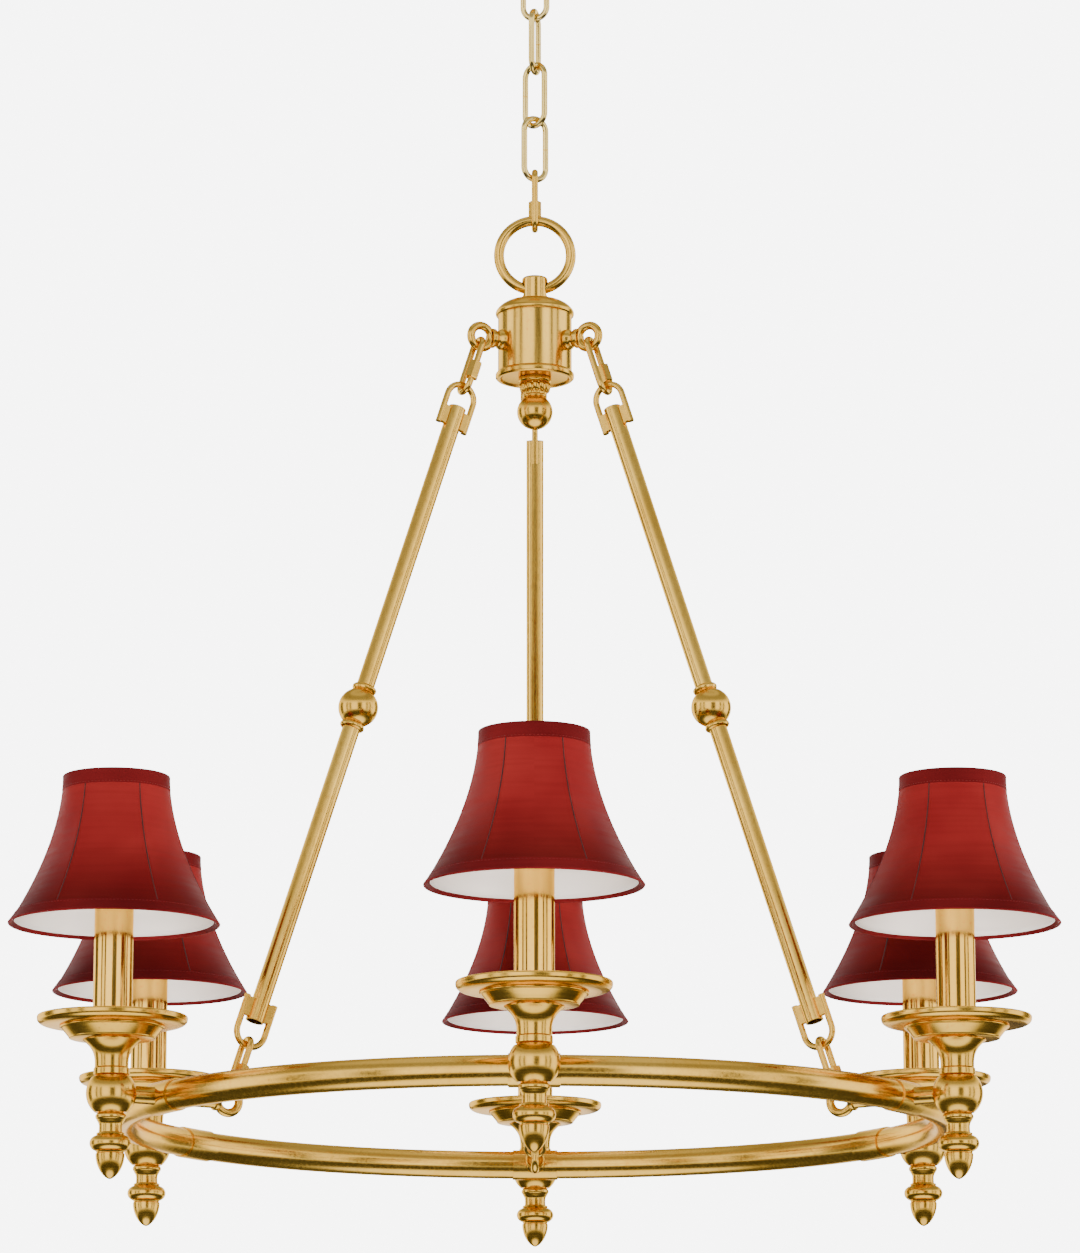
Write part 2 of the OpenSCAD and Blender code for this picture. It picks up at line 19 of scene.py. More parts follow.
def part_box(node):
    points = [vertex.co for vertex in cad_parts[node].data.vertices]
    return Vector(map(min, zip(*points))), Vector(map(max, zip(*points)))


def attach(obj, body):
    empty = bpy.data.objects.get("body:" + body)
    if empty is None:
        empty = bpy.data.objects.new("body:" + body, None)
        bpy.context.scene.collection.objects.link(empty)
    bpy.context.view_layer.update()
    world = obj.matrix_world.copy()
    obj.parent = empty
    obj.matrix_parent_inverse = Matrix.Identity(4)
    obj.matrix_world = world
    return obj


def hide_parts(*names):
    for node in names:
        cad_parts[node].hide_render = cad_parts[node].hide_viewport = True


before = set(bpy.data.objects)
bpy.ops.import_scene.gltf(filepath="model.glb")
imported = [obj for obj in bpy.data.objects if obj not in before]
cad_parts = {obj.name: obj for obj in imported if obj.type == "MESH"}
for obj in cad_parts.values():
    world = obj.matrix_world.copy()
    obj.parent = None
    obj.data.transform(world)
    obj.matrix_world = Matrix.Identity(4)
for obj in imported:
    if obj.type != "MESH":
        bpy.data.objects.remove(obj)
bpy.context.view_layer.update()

LOG = logging.getLogger("chandelier")
MM = 0.001
CURVE_TO_HEIGHT = 1.08  # length up a bell's curve for each unit of its height
MERGED = 2e-6  # metres within which points become one
Color = tuple[float, float, float]
Profile = list[tuple[float, float]]


# ---------------------------------------------------------------- where things are


@dataclass(frozen=True)
class Layout:
    """Places that the pieces share, in millimetres."""

    drop: float = 1000.0
    lamp_circle: float = 352.0
    ring_radius: float = 308.0
    hub_eye_radius: float = 48.0
    hub_eye_height: float = 605.0
    ring_eye_radius: float = 258.0

    def above_ring(self, height: float = 0.0) -> Matrix:
        """The place on the main axis at a height above the ring."""
        return Matrix.Translation((0, 0, height - self.drop))

    def headed(self, degrees: float, radius: float = 0.0, height: float = 0.0) -> Matrix:
        """A place at a radius and height above the ring, turned so that its +X points outwards.

        Args:
            degrees: heading from +X towards +Y.
            radius: distance from the main axis.
            height: height above the ring.

        Returns:
            The place as a matrix.
        """
        turn = Matrix.Rotation(math.radians(degrees), 4, "Z")
        return self.above_ring(height) @ turn @ Matrix.Translation((radius, 0, 0))

    def rod_span(self) -> float:
        """Distance between the centres of a rod's hub eye and ring eye."""
        return math.hypot(self.ring_eye_radius - self.hub_eye_radius, self.hub_eye_height)

    def on_rod(self, degrees: float, down: float = 0.0) -> Matrix:
        """A place on a rod, with -Z running down it.

        Args:
            degrees: heading of the rod.
            down: distance down the rod from its hub eye's centre.

        Returns:
            The place as a matrix.
        """
        lean = math.atan((self.ring_eye_radius - self.hub_eye_radius) / self.hub_eye_height)
        start = self.headed(degrees, self.hub_eye_radius, self.hub_eye_height)
        return start @ Matrix.Rotation(-lean, 4, "Y") @ Matrix.Translation((0, 0, -down))


LAYOUT = Layout()


class Station(Enum):
    """The six places of a lamp, with their headings."""

    FRONT = -90
    FRONT_RIGHT = -30
    BACK_RIGHT = 30
    BACK = 90
    BACK_LEFT = 150
    FRONT_LEFT = 210

    @property
    def label(self) -> str:
        """The station's part of a node's name."""
        return self.name.lower()

    @property
    def place(self) -> Matrix:
        """The lamp's axis, with +X pointing away from the middle of the ring."""
        return LAYOUT.headed(self.value, LAYOUT.lamp_circle)


class Rod(Enum):
    """The three rods, with their headings."""

    FRONT_RIGHT = -30
    BACK = 90
    FRONT_LEFT = 210

    @property
    def label(self) -> str:
        """The rod's part of a node's name."""
        return self.name.lower()


# ---------------------------------------------------------------- shapes


@dataclass
class Shape:
    """Points and faces of a piece while it is made, in millimetres."""

    points: list[Vector] = field(default_factory=list)
    faces: list[tuple[int, ...]] = field(default_factory=list)

    def add(self, other: "Shape", place: Optional[Matrix] = None) -> "Shape":
        """Adds another shape at a place.

        Args:
            other: the shape to add.
            place: where it goes, or None to leave it where it is.

        Returns:
            This shape.
        """
        start = len(self.points)
        self.points += [place @ p if place is not None else p.copy() for p in other.points]
        self.faces += [tuple(i + start for i in face) for face in other.faces]
        return self

    def copies(self, places: Iterable[Matrix]) -> "Shape":
        """A new shape with one copy of this one at each place."""
        result = Shape()
        for place in places:
            result.add(self, place)
        return result

    def mesh(self, name: str) -> bpy.types.Mesh:
        """The shape as a mesh, still in millimetres."""
        made = bpy.data.meshes.new(name)
        made.from_pydata([tuple(p) for p in self.points], [], self.faces)
        return made


def softened(profile: Profile, radius: float, steps: int = 3) -> Profile:
    """Rounds the corners of a profile.

    Args:
        profile: (radius, height) pairs.
        radius: radius of the rounding, cut down where an edge is too short for it.
        steps: segments in each rounded corner.

    Returns:
        The profile with its corners rounded.
    """
    result = [profile[0]]
    for before, corner, after in zip(profile, profile[1:], profile[2:]):
        middle = Vector(corner)
        into, away = middle - Vector(before), Vector(after) - middle
        if min(into.length, away.length) < 1e-6 or into.angle(away) < 0.25:
            result.append(corner)
            continue
        reach = min(radius * math.tan(min(into.angle(away), 2.6) / 2), 0.45 * into.length, 0.45 * away.length)
        start, end = middle - into.normalized() * reach, middle + away.normalized() * reach
        for step in range(steps + 1):
            t = step / steps
            point = start * (1 - t) ** 2 + middle * 2 * t * (1 - t) + end * t**2
            result.append((point.x, point.y))
    result.append(profile[-1])
    return result


def flowing(points: Profile, steps: int = 5) -> Profile:
    """A smooth curve through the points.

    Args:
        points: (radius, height) pairs that the curve passes through.
        steps: segments between one point and the next.

    Returns:
        The points of the curve.
    """
    ends = [points[0], *points, points[-1]]
    result = []
    for a, b, c, d in zip(ends, ends[1:], ends[2:], ends[3:]):
        for step in range(steps):
            t = step / steps
            result.append(
                tuple(
                    0.5 * (2 * q + (r - p) * t + (2 * p - 5 * q + 4 * r - s) * t**2 + (3 * q - p - 3 * r + s) * t**3)
                    for p, q, r, s in zip(a, b, c, d)
                )
            )
    result.append(points[-1])
    return result


def turned(profile: Profile, steps: int = 72, flute: Optional[Callable[[float, float], float]] = None) -> Shape:
    """Turns a profile round the Z axis.

    Args:
        profile: (radius, height) pairs; a radius of 0 closes an end in a pole.
        steps: segments round the axis.
        flute: share of the radius that is left at an angle and height, or None for a plain turning.

    Returns:
        The turned shape.
    """
    shape, rings = Shape(), []
    for radius, height in profile:
        count = 1 if radius < 1e-6 else steps
        rings.append(range(len(shape.points), len(shape.points) + count))
        for step in range(count):
            angle = 2 * math.pi * step / steps
            reach = radius * (flute(angle, height) if flute else 1)
            shape.points.append(Vector((reach * math.cos(angle), reach * math.sin(angle), height)))
    for low, high in zip(rings, rings[1:]):
        for step in range(steps):
            after = (step + 1) % steps
            corners = (low[step % len(low)], low[after % len(low)], high[after % len(high)], high[step % len(high)])
            face = tuple(dict.fromkeys(corners))
            if len(face) > 2:
                shape.faces.append(face)
    return shape


def wire_ring(radius: float, wire: float, around: int = 64, section: int = 20) -> Shape:
    """A ring of round wire in the XZ plane."""
    loop = [(radius + wire / 2 * math.cos(a), wire / 2 * math.sin(a)) for a in angles(section)]
    return Shape().add(turned(loop + loop[:1], around), Matrix.Rotation(math.pi / 2, 4, "X"))


def angles(count: int) -> list[float]:
    """Equal steps round a whole turn, in radians."""
    return [2 * math.pi * step / count for step in range(count)]


def sweep(start: float, end: float, steps: int = 36) -> list[float]:
    """Equal steps between two angles in degrees, in radians."""
    return [math.radians(start + (end - start) * step / steps) for step in range(steps + 1)]


# ---------------------------------------------------------------- finishes


def fill_ramp(node: bpy.types.Node, stops: Sequence[tuple[float, Color]]) -> None:
    """Gives a colour ramp its (position, colour) stops."""
    elements = node.color_ramp.elements
    while len(elements) < len(stops):
        elements.new(0.5)
    for element, (position, color) in zip(elements, stops):
        element.position = position
        element.color = (*color, 1)


class ShaderTree:
    """A material's nodes, put together in steps."""

    def __init__(self, name: str) -> None:
        """Starts an empty material with a Principled shader."""
        self.material = bpy.data.materials.new(name)
        self.material.use_nodes = True
        self.nodes = self.material.node_tree.nodes
        self.links = self.material.node_tree.links
        self.shader = self.nodes["Principled BSDF"]
        self.place = self.nodes.new("ShaderNodeTexCoord").outputs["Object"]

    def set(self, **values: object) -> None:
        """Sets constants on the shader, with underscores for the spaces in a socket's name."""
        for key, value in values.items():
            self.shader.inputs[key.replace("_", " ")].default_value = value

    def noise(
        self, scale: float, detail: float = 2.0, stretch: Color = (1, 1, 1), source: object = None
    ) -> object:
        """A noise pattern on the piece.

        Args:
            scale: how many features there are to the metre.
            detail: how many finer layers it has.
            stretch: scale along each axis.
            source: coordinates that it reads, the object's own if None.

        Returns:
            The noise's Factor output.
        """
        mapping = self.nodes.new("ShaderNodeMapping")
        mapping.inputs["Scale"].default_value = stretch
        self.links.new(source or self.place, mapping.inputs["Vector"])
        noise = self.nodes.new("ShaderNodeTexNoise")
        noise.inputs["Scale"].default_value = scale
        noise.inputs["Detail"].default_value = detail
        self.links.new(mapping.outputs["Vector"], noise.inputs["Vector"])
        return noise.outputs["Fac"]

    def ramp(self, factor: object, stops: Sequence[tuple[float, Color]]) -> object:
        """A colour for each value of a factor.

        Args:
            factor: the socket that drives it.
            stops: (value, colour) pairs in order.

        Returns:
            The colour output.
        """
        node = self.nodes.new("ShaderNodeValToRGB")
        fill_ramp(node, stops)
        self.links.new(factor, node.inputs["Fac"])
        return node.outputs["Color"]

    def span(self, factor: object, low: float, high: float, start: float = 0.3, end: float = 0.7) -> object:
        """A factor from start to end, mapped to run from low to high."""
        node = self.nodes.new("ShaderNodeMapRange")
        for name, value in (("From Min", start), ("From Max", end), ("To Min", low), ("To Max", high)):
            node.inputs[name].default_value = value
        self.links.new(factor, node.inputs["Value"])
        return node.outputs["Result"]

    def mix(self, factor: object, first: object, second: object, blend: str = "MIX") -> object:
        """Two colours mixed by a factor; a colour may be a socket or a fixed value."""
        node = self.nodes.new("ShaderNodeMix")
        node.data_type = "RGBA"
        node.blend_type = blend
        colors = [s for s in node.inputs if s.type == "RGBA"]
        for socket, value in ((node.inputs[0], factor), (colors[0], first), (colors[1], second)):
            if isinstance(value, bpy.types.NodeSocket):
                self.links.new(value, socket)
            else:
                socket.default_value = value if isinstance(value, float) else (*value, 1)
        return next(s for s in node.outputs if s.type == "RGBA")

    def drive(self, name: str, source: object) -> None:
        """Links a source to one of the shader's inputs."""
        self.links.new(source, self.shader.inputs[name])

    def bump(self, height: object, depth: float, strength: float = 1.0) -> None:
        """Raises the surface by a pattern, on top of any bump before it.

        Args:
            height: the pattern.
            depth: its depth in metres.
            strength: how strongly it shows.
        """
        node = self.nodes.new("ShaderNodeBump")
        node.inputs["Strength"].default_value = strength
        node.inputs["Distance"].default_value = depth
        self.links.new(height, node.inputs["Height"])
        before = self.shader.inputs["Normal"].links
        if before:
            self.links.new(before[0].from_socket, node.inputs["Normal"])
        self.links.new(node.outputs["Normal"], self.shader.inputs["Normal"])


class Grain(Enum):
    """Which way the tool marks of a metal run, as a scale along each axis."""

    TURNED = (20, 20, 1800)
    DRAWN = (700, 700, 25)
    SATIN = (420, 420, 420)


@dataclass(frozen=True)
class Metal:
    """A metal with a slightly uneven tone and fine tool marks, and optionally a painted shade that darkens its
    creases.
    """

    name: str
    slot: str
    clean: Color
    toned: Color
    roughness: float
    grain: Grain = Grain.TURNED
    marks: float = 0.3
    lacquer: float = 0.06
    edge: Color = (0.98, 0.80, 0.48)
    shaded_creases: bool = False

    def build(self) -> bpy.types.Material:
        """Builds the material."""
        tree = ShaderTree(self.name)
        cloud = tree.noise(14, 3)
        color = tree.ramp(cloud, [(0.36, self.toned), (0.62, self.clean)])
        speck = tree.ramp(tree.noise(300, 3), [(0.28, (0.90, 0.84, 0.72)), (0.42, (1, 1, 1))])
        color = tree.mix(1.0, color, speck, "MULTIPLY")
        if self.shaded_creases:
            # Painted shade: the colour darkens in the creases and hollows that pointiness finds.
            hollow = tree.nodes.new("ShaderNodeNewGeometry").outputs["Pointiness"]
            shade = tree.ramp(hollow, [(0.38, (0.34, 0.22, 0.11)), (0.47, (1, 1, 1))])
            color = tree.mix(0.6, color, shade, "MULTIPLY")
        tree.drive("Base Color", color)
        marks = tree.noise(1, 2, self.grain.value)
        tree.drive("Roughness", tree.span(marks, self.roughness - 0.04, self.roughness + 0.06))
        tree.bump(marks, 0.00002, self.marks)
        tree.set(Metallic=1.0, Specular_Tint=(*self.edge, 1))
        tree.set(Coat_Weight=self.lacquer, Coat_Roughness=0.1, Coat_IOR=1.45)
        return tree.material


@dataclass(frozen=True)
class Cloth:
    """A woven cloth, with threads that follow the piece's own UV map in metres, an optional painted shade that
    darkens its foot and an optional painted light in which it glows.
    """

    name: str
    slot: str
    lit: Color
    deep: Color
    roughness: float
    threads: float
    sheen: float = 0.0
    sheen_tint: Color = (1.0, 0.2, 0.12)
    ripple: float = 0.0004
    glow: float = 0.0
    gloss_tint: Color = (1.0, 0.4, 0.32)
    painted_foot_shade: float = 1.0
    painted_shade_reach: float = 0.06

    def build(self) -> bpy.types.Material:
        """Builds the material."""
        tree = ShaderTree(self.name)
        uv = tree.nodes.new("ShaderNodeUVMap")
        uv.uv_map = "UVMap"
        across = self.wave(tree, uv.outputs["UV"], "X", self.threads)
        along = self.wave(tree, uv.outputs["UV"], "Y", self.threads * 0.6)
        slub = tree.noise(1, 2, (9, 240, 1), uv.outputs["UV"])
        cloud = tree.noise(16, 2)
        color = tree.ramp(cloud, [(0.35, self.deep), (0.68, self.lit)])
        streak = tree.ramp(slub, [(0.3, (0.86, 0.84, 0.84)), (0.6, (1, 1, 1))])
        color = tree.mix(0.7, color, streak, "MULTIPLY")
        # Painted shade: the colour darkens towards the foot of the cloth.
        rise = tree.nodes.new("ShaderNodeSeparateXYZ")
        tree.links.new(uv.outputs["UV"], rise.inputs[0])
        up = tree.span(rise.outputs["Y"], 0.0, 1.0, 0.0, self.painted_shade_reach)
        depth = tree.ramp(up, [(0.0, (self.painted_foot_shade,) * 3), (1.0, (1, 1, 1))])
        tree.drive("Base Color", tree.mix(1.0, color, depth, "MULTIPLY"))
        tree.drive("Roughness", tree.span(slub, self.roughness - 0.05, self.roughness + 0.07))
        tree.bump(tree.noise(34, 1, (0.6, 0.6, 1.6)), self.ripple, 0.5)
        tree.bump(across, 0.00003, 0.25)
        tree.bump(along, 0.00003, 0.25)
        tree.set(Sheen_Weight=self.sheen, Sheen_Roughness=0.35, Sheen_Tint=(*self.sheen_tint, 1))
        tree.set(Specular_IOR_Level=0.04, Specular_Tint=(*self.gloss_tint, 1))
        # Painted light: the cloth glows in its own colour though it is no lamp.
        if self.glow:
            tree.set(Emission_Color=(*self.lit, 1), Emission_Strength=self.glow)
        return tree.material

    @staticmethod
    def wave(tree: ShaderTree, source: object, axis: str, threads: float) -> object:
        """Parallel threads along one axis of the UV map."""
        node = tree.nodes.new("ShaderNodeTexWave")
        node.bands_direction = axis
        node.inputs["Scale"].default_value = threads / 20 * math.pi
        node.inputs["Distortion"].default_value = 0.6
        tree.links.new(source, node.inputs["Vector"])
        return node.outputs["Fac"]


@dataclass(frozen=True)
class Glaze:
    """Porcelain, frosted glass or thread: an even body with a fine surface."""

    name: str
    slot: str
    clean: Color
    toned: Color
    roughness: float
    transmission: float = 0.0
    coat: float = 0.5

    def build(self) -> bpy.types.Material:
        """Builds the material."""
        tree = ShaderTree(self.name)
        cloud = tree.noise(40, 3)
        tree.drive("Base Color", tree.ramp(cloud, [(0.35, self.toned), (0.65, self.clean)]))
        tree.drive("Roughness", tree.span(tree.noise(300, 2), self.roughness - 0.04, self.roughness + 0.05))
        tree.bump(tree.noise(900, 2), 0.00001, 0.2)
        tree.set(Transmission_Weight=self.transmission, Coat_Weight=self.coat, Coat_Roughness=0.06, IOR=1.5)
        return tree.material


class Finish(Enum):
    """Every finish on the chandelier."""

    AGED_BRASS = Metal("satin_brass", "aged_brass", (0.84, 0.52, 0.09), (0.74, 0.43, 0.06), 0.2, Grain.SATIN)
    # Turned brass has painted shade darkening its creases.
    TURNED_BRASS = Metal(
        "turned_brass", "aged_brass", (0.82, 0.50, 0.08), (0.71, 0.41, 0.052), 0.2, Grain.TURNED, shaded_creases=True
    )
    DRAWN_BRASS = Metal("drawn_brass", "aged_brass", (0.86, 0.545, 0.10), (0.77, 0.46, 0.07), 0.19, Grain.DRAWN)
    CANDLE_BRASS = Metal("sleeve_brass", "candle_brass", (0.93, 0.56, 0.10), (0.86, 0.49, 0.07), 0.12, Grain.DRAWN)
    CHAIN_BRASS = Metal(
        "chain_brass", "polished_brass", (0.93, 0.72, 0.26), (0.84, 0.62, 0.18), 0.12, Grain.SATIN,
        marks=0.2, lacquer=0.1, edge=(1.0, 0.9, 0.6),
    )
    ZINC_STEEL = Metal(
        "zinc_plate", "zinc_steel", (0.62, 0.63, 0.63), (0.48, 0.49, 0.50), 0.34, Grain.DRAWN,
        marks=0.4, lacquer=0.0, edge=(1, 1, 1),
    )
    FRAME_WIRE = Metal("wire_brass", "frame_wire", (0.80, 0.50, 0.14), (0.68, 0.40, 0.09), 0.3, Grain.SATIN)
    # The satin cover has painted shade darkening its foot.
    RED_SATIN = Cloth(
        "satin_cloth", "red_satin", (0.36, 0.029, 0.026), (0.28, 0.018, 0.018), 0.45, threads=2600, painted_foot_shade=0.36
    )
    RED_BINDING = Cloth(
        "red_binding", "red_satin", (0.20, 0.015, 0.016), (0.13, 0.009, 0.010), 0.5, threads=2200,
        sheen=0.02, sheen_tint=(1.0, 0.3, 0.25),
    )
    RED_SEAM = Glaze("red_seam", "red_satin", (0.075, 0.005, 0.004), (0.04, 0.002, 0.002), 0.6, coat=0.0)
    RED_THREAD = Glaze("red_thread", "red_satin", (0.22, 0.010, 0.010), (0.13, 0.005, 0.005), 0.5, coat=0.05)
    # Painted light: the lining glows though it is no lamp.
    PALE_LINING = Cloth(
        "pale_lining", "red_satin", (0.90, 0.84, 0.78), (0.86, 0.79, 0.73), 0.7, threads=1800,
        sheen=0.05, sheen_tint=(1, 0.9, 0.85), ripple=0.0002, glow=0.6, gloss_tint=(1, 1, 1),
    )
    PORCELAIN = Glaze("white_porcelain", "porcelain", (0.84, 0.83, 0.79), (0.76, 0.74, 0.69), 0.14)
    FROSTED_GLASS = Glaze(
        "bulb_glass", "frosted_glass", (0.93, 0.91, 0.86), (0.88, 0.85, 0.78), 0.32, transmission=0.55, coat=0.2
    )

    def material(self) -> bpy.types.Material:
        """The finish's material, built when it is first asked for."""
        return bpy.data.materials.get(self.value.name) or self.value.build()

    @property
    def slot(self) -> str:
        """The record's material slot of the finish."""
        return self.value.slot


# ---------------------------------------------------------------- pieces


def shown(name: str, data: bpy.types.ID) -> bpy.types.Object:
    """A new object in the scene."""
    thing = bpy.data.objects.new(name, data)
    bpy.context.scene.collection.objects.link(thing)
    return thing


def finished(
    mesh: bpy.types.Mesh,
    name: str,
    finish: Finish,
    body: str,
    stands_for: Sequence[str] = (),
    crease: float = 38.0,
) -> bpy.types.Object:
    """Closes a mesh, dresses it and puts it on its body.

    Args:
        mesh: the piece's mesh in millimetres.
        name: the piece's name.
        finish: its finish.
        body: the CAD body that it rides on.
        stands_for: the CAD nodes that it replaces.
        crease: angle in degrees above which an edge stays sharp.

    Returns:
        The finished piece.
    """
    mesh.name = name
    mesh.transform(Matrix.Scale(MM, 4))
    work = bmesh.new()
    work.from_mesh(mesh)
    bmesh.ops.remove_doubles(work, verts=work.verts, dist=MERGED)
    bmesh.ops.recalc_face_normals(work, faces=work.faces)
    work.to_mesh(mesh)
    work.free()
    mesh.materials.clear()
    mesh.materials.append(finish.material())
    mesh.shade_smooth()
    mesh.set_sharp_from_angle(angle=math.radians(crease))
    thing = shown(name, mesh)
    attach(thing, body)
    finish.slot
    if stands_for:
        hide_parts(*stands_for)
    LOG.info("%s: %d faces, rides on %s", name, len(mesh.polygons), body)
    return thing


def piece(
    shape: Shape, name: str, finish: Finish, body: str, *stands_for: str, crease: float = 38.0
) -> bpy.types.Object:
    """A finished piece made from a shape."""
    return finished(shape.mesh(name), name, finish, body, stands_for, crease)


def dress(finish: Finish, *nodes: str) -> None:
    """Gives CAD nodes that stay in view their finish."""
    for node in nodes:
        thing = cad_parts[node]
        thing.data.materials.clear()
        thing.data.materials.append(finish.material())
        LOG.info("%s: CAD node in %s", node, finish.name.lower())


# ---------------------------------------------------------------- rule-driven pieces


class RuleTree:
    """A Geometry Nodes tree that is put together in steps, with named inputs."""

    def __init__(self, name: str, **sizes: float) -> None:
        """Starts a tree.

        Args:
            name: the tree's name.
            sizes: names and first values of its number inputs.
        """
        self.group = bpy.data.node_groups.new(name, "GeometryNodeTree")
        face = self.group.interface
        face.new_socket("Geometry", in_out="OUTPUT", socket_type="NodeSocketGeometry")
        face.new_socket("Path", in_out="INPUT", socket_type="NodeSocketGeometry")
        for key, value in sizes.items():
            kind = "NodeSocketInt" if isinstance(value, int) else "NodeSocketFloat"
            face.new_socket(key, in_out="INPUT", socket_type=kind).default_value = value
        face.new_socket("Finish", in_out="INPUT", socket_type="NodeSocketMaterial")
        self.inputs = self.group.nodes.new("NodeGroupInput").outputs

    def node(self, kind: str, links: Optional[dict] = None, **settings: object) -> bpy.types.Node:
        """Adds a node.

        Args:
            kind: the node's type.
            links: sockets or fixed values for its inputs, by name or number.
            settings: the node's own settings.

        Returns:
            The node.
        """
        made = self.group.nodes.new(kind)
        for key, value in settings.items():
            setattr(made, key, value)
        for key, value in (links or {}).items():
            if isinstance(value, bpy.types.NodeSocket):
                self.group.links.new(value, made.inputs[key])
            else:
                made.inputs[key].default_value = value
        return made

    def sum(self, operation: str, first: object, second: object = 0.0) -> bpy.types.NodeSocket:
        """One step of arithmetic on two sockets or numbers."""
        return self.node("ShaderNodeMath", {0: first, 1: second}, operation=operation).outputs[0]

    def vector(self, x: object, y: object, z: object = 0.0) -> bpy.types.NodeSocket:
        """Three sockets or numbers as one vector."""
        return self.node("ShaderNodeCombineXYZ", {0: x, 1: y, 2: z}).outputs[0]

    def lay(self, points: object, thing: object, turn: object, size: object) -> bpy.types.NodeSocket:
        """A copy of a thing on each point, turned and sized."""
        links = {"Points": points, "Instance": thing, "Rotation": turn, "Scale": size}
        return self.node("GeometryNodeInstanceOnPoints", links).outputs[0]

    def ball(self, segments: int, rings: int) -> bpy.types.NodeSocket:
        """A ball of diameter 1 with few faces."""
        sizes = {"Segments": segments, "Rings": rings, "Radius": 0.5}
        return self.node("GeometryNodeMeshUVSphere", sizes).outputs[0]

    def close(self, geometry: bpy.types.NodeSocket) -> "RuleTree":
        """Ends the tree in Realize Instances and Set Material."""
        real = self.node("GeometryNodeRealizeInstances", {"Geometry": geometry}).outputs[0]
        dressed = self.node("GeometryNodeSetMaterial", {"Geometry": real, "Material": self.inputs["Finish"]})
        self.node("NodeGroupOutput", {"Geometry": dressed.outputs[0]})
        return self

    def grow(
        self, name: str, finish: Finish, path: Optional[bpy.types.Mesh] = None, **sizes: float
    ) -> bpy.types.Mesh:
        """Runs the tree and keeps its result as a plain mesh.

        Args:
            name: name of the mesh.
            finish: material that the tree sets.
            path: mesh whose edges or points the tree works on.
            sizes: values for the tree's named inputs.

        Returns:
            The mesh, in millimetres.
        """
        holder = shown(name, path or bpy.data.meshes.new(name))
        modifier = holder.modifiers.new(self.group.name, "NODES")
        modifier.node_group = self.group
        for item in self.group.interface.items_tree:
            if item.item_type == "SOCKET" and item.in_out == "INPUT" and item.name in sizes:
                modifier[item.identifier] = sizes[item.name]
            if item.item_type == "SOCKET" and item.name == "Finish":
                modifier[item.identifier] = finish.material()
        result = bpy.data.meshes.new_from_object(holder.evaluated_get(bpy.context.evaluated_depsgraph_get()))
        holder.modifiers.remove(modifier)
        bpy.data.objects.remove(holder)
        return result


def wire_tree() -> RuleTree:
    """A wire of squared section along each path, with closed ends.

    Returns:
        The tree, with inputs Wire for the thickness and Corner for the radius of the section's corners.
    """
    tree = RuleTree("wire_along_path", Wire=5.0, Corner=2.0)
    line = tree.node("GeometryNodeMeshToCurve", {"Mesh": tree.inputs["Path"]}).outputs[0]
    square = tree.node(
        "GeometryNodeCurvePrimitiveQuadrilateral", {"Width": tree.inputs["Wire"], "Height": tree.inputs["Wire"]}
    ).outputs[0]
    section = tree.node(
        "GeometryNodeFilletCurve", {"Curve": square, "Count": 5, "Radius": tree.inputs["Corner"]}, mode="POLY"
    ).outputs[0]
    swept = tree.node("GeometryNodeCurveToMesh", {"Curve": line, "Profile Curve": section, "Fill Caps": True})
    return tree.close(swept.outputs[0])


def stitch_tree() -> RuleTree:
    """Stitches laid end to end along each path.

    Returns:
        The tree, with inputs Pitch, Length and Thread.
    """
    tree = RuleTree("stitches_along_path", Pitch=3.0, Length=2.1, Thread=0.4)
    line = tree.node("GeometryNodeMeshToCurve", {"Mesh": tree.inputs["Path"]}).outputs[0]
    pitch = {"Curve": line, "Length": tree.inputs["Pitch"]}
    spots = tree.node("GeometryNodeCurveToPoints", pitch, mode="LENGTH")
    size = tree.vector(tree.inputs["Thread"], tree.inputs["Thread"], tree.inputs["Length"])
    return tree.close(tree.lay(spots.outputs["Points"], tree.ball(6, 4), spots.outputs["Rotation"], size))


def crown_tree() -> RuleTree:
    """Leaves or ribs that stand side by side round the Z axis.

    Returns:
        The tree, with inputs Count, Radius, Width, Depth, Tall, Slant and Lean.
    """
    tree = RuleTree("crown_of_ribs", Count=14, Radius=10.0, Width=5.0, Depth=2.5, Tall=8.0, Slant=0.3, Lean=0.0)
    sizes = {"Vertices": tree.inputs["Count"], "Radius": tree.inputs["Radius"]}
    circle = tree.node("GeometryNodeMeshCircle", sizes)
    place = tree.node("GeometryNodeInputPosition").outputs[0]
    parts = tree.node("ShaderNodeSeparateXYZ", {0: place})
    heading = tree.sum("ARCTAN2", parts.outputs[1], parts.outputs[0])
    size = tree.vector(tree.inputs["Depth"], tree.inputs["Width"], tree.inputs["Tall"])
    turn = tree.vector(tree.inputs["Slant"], tree.inputs["Lean"], heading)
    return tree.close(tree.lay(circle.outputs[0], tree.ball(14, 10), turn, size))


